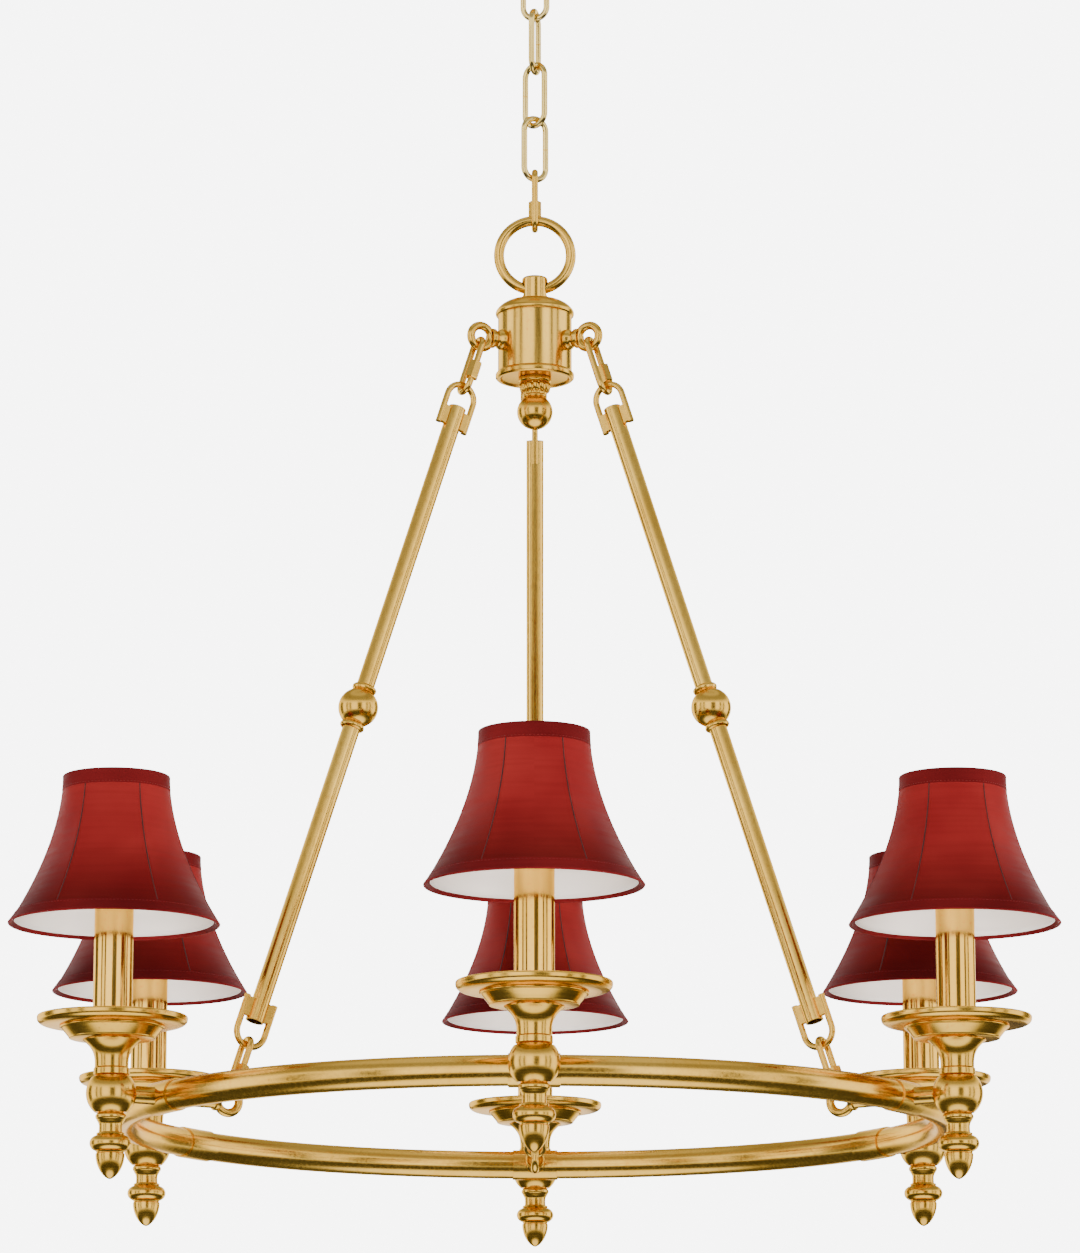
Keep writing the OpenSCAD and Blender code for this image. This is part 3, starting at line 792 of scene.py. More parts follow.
def bell_tree() -> RuleTree:
    """A strip of a bell with gores, between two shares of its height.

    The radius falls from the foot to the neck by a power law. Between the seams the cloth is pulled flat, most at
    half height and not at all at the two rings. The UV map has the cloth's own size in metres.

    Returns:
        The tree.
    """
    tree = RuleTree(
        "bell_of_gores", Foot=76.2, Neck=38.35, Height=107.6, Base=123.2, Flare=1.8, Gores=6, Pull=0.7,
        Offset=0.0, Start=0.0, End=1.0, Around=144, Up=40,
    )
    plus, less, times, over = (partial(tree.sum, name) for name in ("ADD", "SUBTRACT", "MULTIPLY", "DIVIDE"))
    size = tree.inputs
    grid = tree.node(
        "GeometryNodeMeshGrid",
        {"Size X": 1.0, "Size Y": 1.0, "Vertices X": plus(size["Around"], 1), "Vertices Y": size["Up"]},
    ).outputs[0]
    place = tree.node("ShaderNodeSeparateXYZ", {0: tree.node("GeometryNodeInputPosition").outputs[0]})
    turn = plus(place.outputs[0], 0.5)
    rise = plus(place.outputs[1], 0.5)
    share = plus(size["Start"], times(rise, less(size["End"], size["Start"])))
    flare = tree.sum("POWER", less(1.0, share), size["Flare"])
    radius = plus(size["Neck"], times(less(size["Foot"], size["Neck"]), flare))
    gore = tree.sum("FRACT", plus(times(turn, size["Gores"]), 0.5))
    wide = over(2 * math.pi, size["Gores"])
    local = times(less(gore, 0.5), wide)
    chord = over(tree.sum("COSINE", over(wide, 2.0)), tree.sum("COSINE", local))
    pull = times(size["Pull"], tree.sum("SINE", times(share, math.pi)))
    flat = less(1.0, times(pull, less(1.0, chord)))
    reach = plus(times(radius, flat), size["Offset"])
    angle = times(turn, 2 * math.pi)
    height = plus(size["Base"], times(share, size["Height"]))
    spot = tree.vector(times(reach, tree.sum("COSINE", angle)), times(reach, tree.sum("SINE", angle)), height)
    cloth = tree.vector(
        times(times(turn, radius), 2 * math.pi * MM), times(times(share, size["Height"]), CURVE_TO_HEIGHT * MM)
    )
    mapped = tree.node(
        "GeometryNodeStoreNamedAttribute",
        {"Geometry": grid, "Name": "UVMap", "Value": cloth},
        data_type="FLOAT2",
        domain="CORNER",
    ).outputs[0]
    bent = tree.node("GeometryNodeSetPosition", {"Geometry": mapped, "Position": spot}).outputs[0]
    closed = tree.node("GeometryNodeMergeByDistance", {"Geometry": bent, "Distance": 0.002}).outputs[0]
    return tree.close(closed)


def path_mesh(name: str, lines: Sequence[Sequence[Vector]]) -> bpy.types.Mesh:
    """Lines as the edges of a mesh, for a tree to follow.

    Args:
        name: the mesh's name.
        lines: points of each line.

    Returns:
        The mesh.
    """
    points, edges = [], []
    for line in lines:
        start = len(points)
        points += [tuple(p) for p in line]
        edges += [(start + i, start + i + 1) for i in range(len(line) - 1)]
    made = bpy.data.meshes.new(name)
    made.from_pydata(points, edges, [])
    return made


# ---------------------------------------------------------------- ceiling fitting and chain


@dataclass
class CeilingFitting:
    """Strap, canopy, loop and knurled collar."""

    canopy_radius: float = 64.0
    canopy_height: float = 34.0
    skirt: float = 6.0
    wall: float = 1.2
    hole_radius: float = 16.1
    shoulder: float = 23.5
    collar_radius: float = 21.0
    collar_height: float = 8.0
    collar_top: float = -34.3
    bore_radius: float = 15.55
    ribs: int = 60

    def build(self) -> None:
        """Makes the canopy and its collar, and dresses the rest."""
        dress(Finish.ZINC_STEEL, "mounting_strap")
        dress(Finish.AGED_BRASS, "canopy_loop")
        piece(self.canopy(), "canopy_shell", Finish.TURNED_BRASS, "canopy", "ceiling_canopy")
        piece(self.collar(), "collar_ring", Finish.TURNED_BRASS, "canopy", "canopy_collar")
        height = self.collar_height - 3.4
        knurl = crown_tree().grow(
            "collar_knurl", Finish.AGED_BRASS, Count=self.ribs, Radius=self.collar_radius - 0.5,
            Width=1.5, Depth=1.6, Tall=height * 1.1, Slant=0.0, Lean=0.0,
        )
        knurl.transform(Matrix.Translation((0, 0, self.collar_top - self.collar_height / 2)))
        finished(knurl, "collar_knurl", Finish.AGED_BRASS, "canopy")

    def curve(self, inset: float) -> Profile:
        """Outline of half the canopy, moved inwards by inset."""
        wide = self.canopy_radius - self.shoulder - inset
        deep = self.canopy_height - self.skirt - inset
        return [(self.shoulder + wide * math.cos(a), -self.skirt - deep * math.sin(a)) for a in sweep(0, 90, 24)]

    def canopy(self) -> Shape:
        """The spun canopy, with a rolled edge at the ceiling."""
        outer = [(self.canopy_radius - 0.2, -0.2), (self.canopy_radius, -1), *self.curve(0)]
        inner = [(self.canopy_radius - self.wall, -0.2), *self.curve(self.wall)]
        hole = [(self.hole_radius, -self.canopy_height), (self.hole_radius, -self.canopy_height + self.wall)]
        loop = [*outer, *hole, *reversed(inner)]
        return turned([*loop, loop[0]], 120)

    def collar(self) -> Shape:
        """The collar's plain part, with a rounded lip at each end."""
        r, h, top = self.collar_radius, self.collar_height, self.collar_top
        loop = [
            (self.bore_radius, top - h), (r - 1.5, top - h), (r - 0.6, top - h + 1.5), (r - 0.6, top - 1.5),
            (r - 1.5, top), (self.bore_radius, top), (self.bore_radius, top - h),
        ]
        return turned(softened(loop, 0.6), 96)


@dataclass
class Chain:
    """Oval links with a butt joint on one leg."""

    length: float = 54.3
    width: float = 23.5
    wire: float = 4.6
    play: float = 0.2
    corner: float = 1.95
    joint: float = 0.6
    steps: int = 20
    turns: tuple[float, ...] = (-12.0, 74.0, -37.0, 27.0)

    def build(self) -> None:
        """Makes a link for each CAD link, in its place."""
        tree = wire_tree()
        for number, turn in enumerate(self.turns, 1):
            low, high = (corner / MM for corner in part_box(f"chain_link_{number}"))
            middle = Matrix.Translation((0, 0, (low.z + high.z) / 2))
            centre = middle @ Matrix.Rotation(math.radians(turn), 4, "Z")
            side = -1 if number % 2 else 1
            line = [centre @ Vector((side * p.x, 0, p.z)) for p in self.oval()]
            path = path_mesh("link_line", [line])
            mesh = tree.grow(f"link_{number}", Finish.CHAIN_BRASS, path, Wire=self.wire, Corner=self.corner)
            name = f"chain_link_{number}"
            finished(mesh, f"oval_{name}", Finish.CHAIN_BRASS, name, [name], crease=45)

    def oval(self) -> list[Vector]:
        """The link's centre line, from one side of its butt joint round to the other."""
        bow = (self.width - self.play - self.wire) / 2
        straight = (self.length - self.width) / 2
        line = [(bow, self.joint / 2), (bow, straight / 2)]
        line += [(bow * math.cos(a), straight + bow * math.sin(a)) for a in sweep(0, 180, self.steps)]
        line.append((-bow, 0))
        line += [(bow * math.cos(a), -straight + bow * math.sin(a)) for a in sweep(180, 360, self.steps)]
        line += [(bow, -straight / 2), (bow, -self.joint / 2)]
        return [Vector((x, 0, z)) for x, z in line]


@dataclass
class LinkNut:
    """The six-sided sleeve nut of a quick link, with chamfered ends and a bore."""

    across: float = 10.0
    length: float = 14.4
    chamfer: float = 0.9
    bore: float = 5.1

    def shape(self) -> Shape:
        """The nut, standing on the origin."""
        half = self.across / 2
        inside = self.bore / 2
        bevel = self.chamfer * 0.55
        loop = [
            (inside, 0), (half - self.chamfer, 0), (half, bevel), (half, self.length - bevel),
            (half - self.chamfer, self.length), (inside, self.length), (inside, 0),
        ]
        return turned(loop, 6)


@dataclass
class Suspension:
    """Top quick link and the ring that the hub hangs on."""

    leg: float = 7.0
    foot: float = 12.8
    nut: LinkNut = field(default_factory=LinkNut)

    def build(self) -> None:
        """Dresses the link and ring, and makes the nut."""
        dress(Finish.AGED_BRASS, "top_quick_link", "suspension_ring")
        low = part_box("top_quick_link")[0] / MM
        place = Matrix.Translation((0, self.leg, low.z + self.foot))
        nut = self.nut.shape().copies([place])
        piece(nut, "top_nut_sleeve", Finish.AGED_BRASS, "top_link_nut", "top_link_nut", crease=20)


# ---------------------------------------------------------------- hub and rods


@dataclass
class ScrewEye:
    """A flanged screw eye along +X, from its flange to the centre of its ring."""

    eye_radius: float = 8.8
    wire: float = 6.4
    flange: float = 8.0
    spool: float = 6.1
    bead: float = 7.6

    def shape(self, start: float, reach: float) -> Shape:
        """Makes the eye.

        Args:
            start: where the flange begins along X.
            reach: where the ring's centre is along X.

        Returns:
            The eye with its spool and flange.
        """
        end = reach - self.eye_radius + 1.2
        stem = [(0, start), (self.flange, start), (self.flange, start + 2.6), (self.flange - 1.1, start + 4.4)]
        stem += [(self.spool, start + 5.2), (self.spool - 0.2, (start + end) / 2), (self.spool, end - 4.6)]
        stem += [(self.bead, end - 3.8), (self.bead, end - 0.8), (self.bead - 0.9, end), (self.bead - 1.7, end - 0.6)]
        stem += [(self.bead - 2.0, end - 3.2), (0, end - 3.2)]
        shape = Shape().add(turned(softened(stem, 0.7), 48), Matrix.Rotation(math.pi / 2, 4, "Y"))
        return shape.add(wire_ring(self.eye_radius, self.wire), Matrix.Translation((reach, 0, 0)))


@dataclass
class Hub:
    """Stem, cap, barrel, base, carved finial and three screw eyes."""

    lip: float = 30.5
    barrel: float = 28.7
    ball: float = 13.85
    ball_height: float = 551.0
    leaves: int = 13
    flutes: int = 14
    flute_depth: float = 0.07

    def build(self) -> None:
        """Makes the hub's pieces."""
        dress(Finish.DRAWN_BRASS, "hub_stem", "hub_barrel")
        on_axis = [LAYOUT.above_ring()]
        turnings = (("cap", turned(self.cap(), 120)), ("base", turned(self.base(), 120)), ("finial", self.finial()))
        for part, shape in turnings:
            piece(shape.copies(on_axis), f"hub_{part}_turning", Finish.TURNED_BRASS, "hub", f"hub_{part}")
        crown = crown_tree()
        upper = crown.grow(
            "hub_leaves", Finish.TURNED_BRASS, Count=self.leaves, Radius=10.3,
            Width=5.6, Depth=3.6, Tall=8.6, Slant=0.42, Lean=0.12,
        )
        upper.transform(LAYOUT.above_ring(570.2))
        finished(upper, "hub_carved_leaves", Finish.TURNED_BRASS, "hub", crease=60)
        eye = ScrewEye()
        eyes = Shape()
        for rod in Rod:
            place = LAYOUT.headed(rod.value, 0, LAYOUT.hub_eye_height)
            eyes.add(eye.shape(self.barrel - 0.4, LAYOUT.hub_eye_radius), place)
        piece(eyes, "hub_screw_eyes", Finish.TURNED_BRASS, "hub", "hub_eyes")

    def cap(self) -> Profile:
        """Outline of the cap, from its underside to the stem."""
        rim = self.lip
        edge = [(0, 627), (rim - 1.8, 627), (rim - 1.8, 627.7), (rim - 0.3, 628.2), (rim, 629), (rim, 630.4)]
        dome = [(rim, 630.4), (rim - 0.9, 632.4), (rim - 4.2, 635.8), (21, 638.7), (14.5, 640.3), (9, 640.6)]
        crown = flowing(dome, 4)
        return softened(edge, 0.4) + crown[1:] + [(0, 640.6)]

    def base(self) -> Profile:
        """Outline of the base plate, with a shallow hollow underneath."""
        rim = self.lip
        return softened(
            [(0, 578.2), (rim - 5, 578.2), (rim - 3.6, 577), (rim - 1.2, 577), (rim, 578.2), (rim, 581),
             (rim - 1.2, 582.4), (rim - 1.7, 583), (0, 583)], 0.6,
        )

    def finial(self) -> Shape:
        """Collar, core of the carved band, fluted cup, ring and ball."""
        top = self.ball_height + math.sqrt(self.ball**2 - 7.6**2)
        upper = [(0, 578.2), (12.7, 578.2), (12.7, 575.4), (11.9, 574.4), (10.2, 573.8), (9.6, 570), (9.3, 566.4)]
        shape = turned(softened(upper + [(8.2, 565.6), (0, 565.6)], 0.6), 72)
        cup = flowing([(9.3, 566.2), (9.0, 564.6), (7.9, 563.2), (7.4, 562.4)], 4)
        shape.add(turned([(0, 566.4), *cup, (0, 562.2)], 112, self.flute))
        ring = [(0, 563.0), (8.6, 563.0), (9.5, 562.2), (9.5, 561.2), (8.6, 560.4), (0, 560.4)]
        shape.add(turned(softened(ring, 0.7), 72), Matrix.Translation((0, 0, top - 562.0 + 0.9)))
        ball = [(self.ball * math.cos(a), self.ball_height + self.ball * math.sin(a)) for a in sweep(-90, 56)]
        shape.add(turned([(0, ball[0][1]), *ball[1:], (0, ball[-1][1])], 84))
        return shape

    def flute(self, angle: float, height: float) -> float:
        """Share of the radius that the flutes leave."""
        return 1 - self.flute_depth * (0.5 + 0.5 * math.cos(self.flutes * angle))


@dataclass
class RodSet:
    """Tubes, knuckles, bails, quick links and nuts of the three rods."""

    knuckle: float = 15.0
    tube: float = 6.75
    half: float = 18.0
    leg: float = 7.0
    link_drop: float = 51.0
    link_wire: float = 5.0
    hang_gap: float = 0.3
    nut_foot: float = 12.8
    nut: LinkNut = field(default_factory=LinkNut)

    def build(self) -> None:
        """Makes the knuckles and nuts, and dresses the rest."""
        for rod in Rod:
            name = f"rod_{rod.label}"
            dress(Finish.DRAWN_BRASS, f"{name}_tubes")
            dress(Finish.AGED_BRASS, f"{name}_bails", f"{name}_links")
            middle = LAYOUT.on_rod(rod.value, LAYOUT.rod_span() / 2)
            knuckle = turned(self.knuckle_outline(), 84).copies([middle])
            piece(knuckle, f"{name}_knuckle_turning", Finish.TURNED_BRASS, name, f"{name}_knuckle")
            nuts = self.nut.shape().copies(self.nut_places(rod))
            piece(nuts, f"{name}_nut_sleeves", Finish.AGED_BRASS, f"{name}_nuts", f"{name}_nuts", crease=20)

    def nut_places(self, rod: Rod) -> list[Matrix]:
        """Where a rod's two nuts stand."""
        eye = ScrewEye()
        reach = eye.eye_radius - eye.wire / 2 - self.hang_gap - self.link_wire
        downs = (reach + self.link_drop, LAYOUT.rod_span() - reach)
        return [LAYOUT.on_rod(rod.value, d) @ Matrix.Translation((0, self.leg, self.nut_foot)) for d in downs]

    def knuckle_outline(self) -> Profile:
        """Outline of the ball with a bead and a neck at each side."""
        bead, neck = self.tube + 2.5, self.tube + 0.9
        edge = self.half
        top = [(neck, 13.0), (bead - 0.5, 13.9), (bead, 15.2), (bead, 16.4), (bead - 0.8, 17.4)]
        top.append((self.tube + 0.4, edge))
        low = math.degrees(math.acos(neck / self.knuckle))
        ball = [(self.knuckle * math.cos(a), self.knuckle * math.sin(a)) for a in sweep(-low, low)]
        upper = softened([*top, (0, edge)], 0.8)
        return [(r, -z) for r, z in reversed(upper)] + ball + upper


# ---------------------------------------------------------------- ring and lamps


@dataclass
class RingSet:
    """The ring's tubes, couplings and long screw eyes."""

    coupling: float = 12.0

    def build(self) -> None:
        """Makes the eyes and dresses the tubes and couplings."""
        dress(Finish.AGED_BRASS, "ring_tubes", "ring_couplings")
        eye = ScrewEye()
        reach = LAYOUT.ring_radius - LAYOUT.ring_eye_radius
        eyes = Shape()
        for rod in Rod:
            inwards = LAYOUT.headed(rod.value, LAYOUT.ring_radius) @ Matrix.Rotation(math.pi, 4, "Z")
            eyes.add(eye.shape(self.coupling - 0.7, reach), inwards)
        piece(eyes, "ring_screw_eyes", Finish.TURNED_BRASS, "ring", "ring_eyes")


@dataclass
class LampSet:
    """The turned stack of each lamp: drop, ball, cup, dish, pan, sleeve and lampholder."""

    ball: float = 18.25
    ball_low: float = -14.0
    ball_high: float = 11.5
    cup_top: float = 38.5
    dish_top: float = 48.5
    pan: float = 54.5
    pan_height: float = 53.0

    def build(self) -> None:
        """Makes the turnings of all six lamps."""
        places = [station.place for station in Station]
        stack = (
            ("lamp_ball_turnings", self.ball_outline(), "lamp_balls"),
            ("lamp_drop_turnings", self.drop_outline(), "lamp_finials"),
            ("drip_cup_turnings", self.cup_outline(), "drip_cups"),
            ("stepped_dish_turnings", self.dish_outline(), "stepped_dishes"),
            ("drip_pan_spinnings", self.pan_outline(), "drip_pans"),
        )
        for name, outline, node in stack:
            piece(turned(outline, 80).copies(places), name, Finish.TURNED_BRASS, "ring", node)
        dress(Finish.CANDLE_BRASS, "candle_sleeves")
        dress(Finish.PORCELAIN, "lamp_sockets")

    def ball_outline(self) -> Profile:
        """Outline of the ball, flattened at its two ends."""
        low, high = (math.degrees(math.asin(z / self.ball)) for z in (self.ball_low, self.ball_high))
        arc = [(self.ball * math.cos(a), self.ball * math.sin(a)) for a in sweep(low, high, 30)]
        return [(0, self.ball_low), *arc, (0, self.ball_high)]

    def drop_outline(self) -> Profile:
        """Outline of the collar, neck, urn and acorn under the ball, from the tip up."""
        acorn = []
        for step in range(17):
            a = math.pi / 2 * (1 - step / 16)
            acorn.append((10.5 * math.cos(a) ** 1.25 if step else 0, -44.8 - 17.2 * math.sin(a) ** 1.1))
        band = [(10.5, -43.8), (9.9, -43.2), (10.0, -42.7)]
        urn = [(8.5 + 6.5 * math.cos(a), -36.2 + 5.85 * math.sin(a)) for a in sweep(-72, 84, 26)]
        ring = [(9.3, -30.3), (10.0, -30.2), (10.25, -29.5), (10.0, -28.8), (9.2, -28.5)]
        neck = flowing([(8.6, -28.3), (8.4, -25.5), (8.6, -22.4), (10.0, -19.7)], 5)
        collar = [(9.3 + 1.84 * math.cos(a), -17 + 2.3 * math.sin(a)) for a in sweep(-60, 84, 14)]
        return acorn + band + urn + ring + neck + collar + [(9.4, -14), (0, -14)]

    def cup_outline(self) -> Profile:
        """Outline of the neck, band and trumpet over the ball."""
        trumpet = []
        for step in range(15):
            t = step / 14
            trumpet.append((12.2 + 8.8 * t**2.9, 19.5 + (self.cup_top - 0.5 - 19.5) * t))
        band = [(0, self.ball_high), (10.8, self.ball_high), (10.8, 12.5), (12.2, 12.7)]
        band += [(13, 13.4), (13, 17.6), (12.2, 18.6)]
        return softened(band, 0.5) + trumpet + [(21, self.cup_top - 0.1), (20.4, self.cup_top), (0, self.cup_top)]

    def dish_outline(self) -> Profile:
        """Outline of the dish: a flat underside, a lip and a steep cone up to the pan."""
        rise = [(0, self.cup_top), (21.3, self.cup_top), (29.9, 39.0), (31.2, 39.4), (31.4, 40.2), (36.4, 46.4)]
        return softened([*rise, (37.6, 46.9), (38, 47.6), (38, self.dish_top), (0, self.dish_top)], 0.5)

    def pan_outline(self) -> Profile:
        """Outline of the pan: a thin floor and a rounded upright rim."""
        edge, mid, top = self.pan, self.pan_height, self.dish_top
        under = [(0, top), (39.5, top), (46.5, top + 0.1)]
        side = [(46.5, top + 0.1), (edge - 3.4, mid - 3.5), (edge - 0.7, mid - 1.6), (edge, mid + 0.5)]
        bowl = flowing(side, 5)[1:]
        lip = [(edge - 1.1 + 1.1 * math.cos(a), mid + 1.5 + 1.5 * math.sin(a)) for a in sweep(0, 165, 10)]
        inside = flowing([(edge - 2.3, mid + 0.6), (edge - 3.6, mid - 1.2), (46, top + 1.1), (30, top + 1)], 5)
        return under + bowl + lip + inside + [(0, top + 1)]


@dataclass
class Bulb:
    """A candle bulb: frosted flame and screw base."""

    width: float = 17.5
    foot: float = 133.0
    neck: float = 153.0
    tip: float = 220.0

    def build(self, station: Station) -> None:
        """Makes the bulb of one lamp."""
        name = f"bulb_{station.label}"
        place = [station.place]
        glass = flowing(
            [(8.2, self.neck - 0.5), (9.4, 157), (13.4, 163.5), (17.0, 172), (self.width, 179), (16.2, 190),
             (12.6, 202), (7.0, 212.6), (2.6, 218), (0, self.tip)], 6,
        )
        flame = turned([(0, self.neck - 0.5), *glass], 56).copies(place)
        piece(flame, f"{name}_flame", Finish.FROSTED_GLASS, name, name)
        base = [(0, self.foot), (3, self.foot), (6.0, self.foot + 1.4)]
        for turn in range(5):
            base += [(6.8, self.foot + 3 + 3 * turn), (6.2, self.foot + 4.5 + 3 * turn)]
        base += [(6.8, self.neck - 1), (0, self.neck - 1)]
        piece(turned(softened(base, 0.7), 40).copies(place), f"{name}_screw_base", Finish.FRAME_WIRE, name)


# ---------------------------------------------------------------- shades


@dataclass
class Shade:
    """A bell of six satin gores with a lining, bound edges, piped seams and stitches."""

    foot: float = 76.2
    neck: float = 38.35
    height: float = 107.6
    base: float = 123.2
    flare: float = 1.8
    pull: float = 0.7
    gores: int = 6
    lower_band: float = 8.0
    upper_band: float = 10.0
    cloth: float = 0.5
    lining_in: float = 3.4
    lining_wall: float = 0.35
    around: int = 144

    def __post_init__(self) -> None:
        """Builds the trees that all six shades share."""
        self.bell = bell_tree()
        self.piping = wire_tree()
        self.stitches = stitch_tree()

    def radius(self, share: float, across: float = 0.5) -> float:
        """The cover's radius.

        Args:
            share: share of the height, 0 at the foot.
            across: share of the way across a gore, 0 and 1 at its seams.

        Returns:
            The radius in millimetres.
        """
        plain = self.neck + (self.foot - self.neck) * (1 - share) ** self.flare
        half = math.pi / self.gores
        chord = math.cos(half) / math.cos((across - 0.5) * 2 * half)
        return plain * (1 - self.pull * math.sin(math.pi * share) * (1 - chord))

    def length(self) -> float:
        """Length of the cloth from foot to neck, along a seam."""
        steps = 60
        spots = [Vector((self.radius(s / steps, 0), self.height * s / steps)) for s in range(steps + 1)]
        return sum((b - a).length for a, b in zip(spots, spots[1:]))

    def build(self, station: Station) -> None:
        """Makes one shade: its cover, lining, bindings, piping and stitches.

        Args:
            station: the lamp that it stands on.
        """
        node = [f"shade_{station.label}"]
        cover = self.clothed(station, "cover", Finish.RED_SATIN, 0, 0.006, 44, self.cloth, node)
        lining = self.clothed(station, "lining", Finish.PALE_LINING, self.lining_in, 0.012, 30, self.lining_wall)
        trims = [self.band(station, "lower"), self.band(station, "upper")]
        trims += [self.seams(station), self.sewing(station)]
        self.length() * MM
        self.length() * MM

    def clothed(
        self, station: Station, part: str, finish: Finish, inset: float, margin: float, rows: int, wall: float,
        stands_for: Sequence[str] = (),
    ) -> bpy.types.Object:
        """Makes a strip of the bell in its place, with the thickness of its cloth.

        Args:
            station: the lamp.
            part: which layer it is.
            finish: its finish.
            inset: distance inwards from the cover, in millimetres.
            margin: share of the height that it leaves free at each end.
            rows: points up the bell.
            wall: thickness in millimetres, inwards.
            stands_for: CAD nodes that it replaces.

        Returns:
            The piece.
        """
        mesh = self.bell.grow(
            part, finish, Foot=self.foot, Neck=self.neck, Height=self.height, Base=self.base, Flare=self.flare,
            Gores=self.gores, Pull=self.pull, Offset=-inset, Start=margin, End=1 - margin, Around=self.around,
            Up=rows,
        )
        mesh.transform(station.place)
        body = f"shade_{station.label}"
        made = finished(mesh, f"{body}_{part}", finish, body, stands_for, crease=60)
        solid = made.modifiers.new("cloth", "SOLIDIFY")
        solid.thickness = wall * MM
        solid.offset = -1
        return made

    def band(self, station: Station, which: str) -> bpy.types.Object:
        """A folded binding that wraps the lower or the upper edge of the bell.

        Args:
            station: the lamp.
            which: "lower" or "upper".

        Returns:
            The binding.
        """
        low = which == "lower"
        wide = (self.lower_band if low else self.upper_band) / self.height
        edge, start = (0.0, wide) if low else (1.0, 1 - wide)
        inner = 4.0 / self.height
        steps, around = 8, self.around
        lines: list[list[Vector]] = []
        for spot in range(around):
            angle = 2 * math.pi * spot / around
            across = (spot / around * self.gores + 0.5) % 1.0
            lines.append([station.place @ p for p in self.binding(angle, across, edge, start, inner, steps)])
        shape = Shape(points=[p for line in lines for p in line])
        count = len(lines[0])
        for spot in range(around):
            after = (spot + 1) % around
            for i in range(count):
                j = (i + 1) % count
                shape.faces.append((spot * count + i, after * count + i, after * count + j, spot * count + j))
        name = f"shade_{station.label}_{which}_binding"
        mesh = shape.mesh(name)
        layer = mesh.uv_layers.new(name="UVMap")
        girth = 2 * math.pi * (self.foot if low else self.neck)
        for polygon in mesh.polygons:
            spot, row = divmod(polygon.index, count)
            corners = ((spot, row), (spot + 1, row), (spot + 1, row + 1), (spot, row + 1))
            for loop, (u, v) in zip(polygon.loop_indices, corners):
                layer.data[loop].uv = (u / around * girth * MM, v * 1.2 * MM)
        return finished(mesh, name, Finish.RED_BINDING, f"shade_{station.label}", crease=50)

    def binding(
        self, angle: float, across: float, edge: float, start: float, inner: float, steps: int
    ) -> list[Vector]:
        """The closed outline of a binding at one angle: up the outside, round the edge and down the inside.

        Args:
            angle: angle round the bell.
            across: share of the way across a gore.
            edge: share of the height of the edge that it wraps, 0 or 1.
            start: share of the height where it begins on the outside.
            inner: share of the height that it covers on the inside.
            steps: segments up the outside.

        Returns:
            The points of the outline.
        """
        lift, roll = 0.8, 1.0
        sign = 1 if edge == 0 else -1
        heading = Vector((math.cos(angle), math.sin(angle), 0))

        def spot(share: float, out: float, over: float = 0.0) -> Vector:
            """A point off the cover at a share of its height."""
            reach = self.radius(share, across) + out
            return heading * reach + Vector((0, 0, self.base + self.height * share - sign * over))

        outside = [spot(start + (edge - start) * step / steps, lift) for step in range(steps + 1)]
        fold = [spot(start, 0.0), spot(start, lift * 0.6)]
        round_edge = [spot(edge, -0.6 + 1.35 * math.cos(a), roll * math.sin(a)) for a in sweep(8, 172, 8)]
        hem, inside_end = edge + sign * 0.012, edge + sign * inner
        inside = [spot(edge, -2.0), spot(inside_end, -2.0), spot(inside_end, -1.55), spot(hem, -1.55)]
        return fold + outside + round_edge + inside + [spot(hem, 0.0)]

    def on_bell(self, reach: float, angle: float, share: float) -> Vector:
        """A point at a radius, an angle and a share of the bell's height."""
        return Vector((reach * math.cos(angle), reach * math.sin(angle), self.base + self.height * share))

    def seam_line(
        self, number: int, out: float, turn: float = 0.0, start: float = 0.07, end: float = 0.91
    ) -> list[Vector]:
        """A line up the bell along a seam.

        Args:
            number: which seam.
            out: distance off the cover.
            turn: sideways distance from the seam, in millimetres.
            start: share of the height where it starts.
            end: share of the height where it ends.

        Returns:
            The points of the line.
        """
        line = []
        for step in range(33):
            share = start + (end - start) * step / 32
            base = self.radius(share, 0)
            angle = 2 * math.pi * (number + 0.5) / self.gores + turn / base
            across = (angle * self.gores / (2 * math.pi) + 0.5) % 1.0
            line.append(self.on_bell(self.radius(share, across) + out, angle, share))
        return line

    def seams(self, station: Station) -> bpy.types.Object:
        """The six piped seams of a shade."""
        lines = [[station.place @ p for p in self.seam_line(n, 0.0)] for n in range(self.gores)]
        name = f"shade_{station.label}_piping"
        mesh = self.piping.grow(name, Finish.RED_SEAM, path_mesh("seam_lines", lines), Wire=1.3, Corner=0.6)
        return finished(mesh, name, Finish.RED_SEAM, f"shade_{station.label}", crease=60)

    def sewing(self, station: Station) -> bpy.types.Object:
        """Stitches beside the seams and along the edges of both bindings."""
        lines = []
        for number in range(self.gores):
            for side in (-1.9, 1.9):
                lines.append([station.place @ p for p in self.seam_line(number, 0.02, side, 0.09, 0.89)])
        for share in ((self.lower_band - 1.2) / self.height, 1 - (self.upper_band - 1.2) / self.height):
            ring = []
            for spot in range(self.around + 1):
                reach = self.radius(share, (spot / self.around * self.gores + 0.5) % 1.0) + 0.84
                ring.append(station.place @ self.on_bell(reach, 2 * math.pi * spot / self.around, share))
            lines.append(ring)
        name = f"shade_{station.label}_stitches"
        path = path_mesh("sewing_lines", lines)
        mesh = self.stitches.grow(name, Finish.RED_THREAD, path, Pitch=2.6, Length=1.9, Thread=0.34)
        return finished(mesh, name, Finish.RED_THREAD, f"shade_{station.label}", crease=80)


# ---------------------------------------------------------------- studio


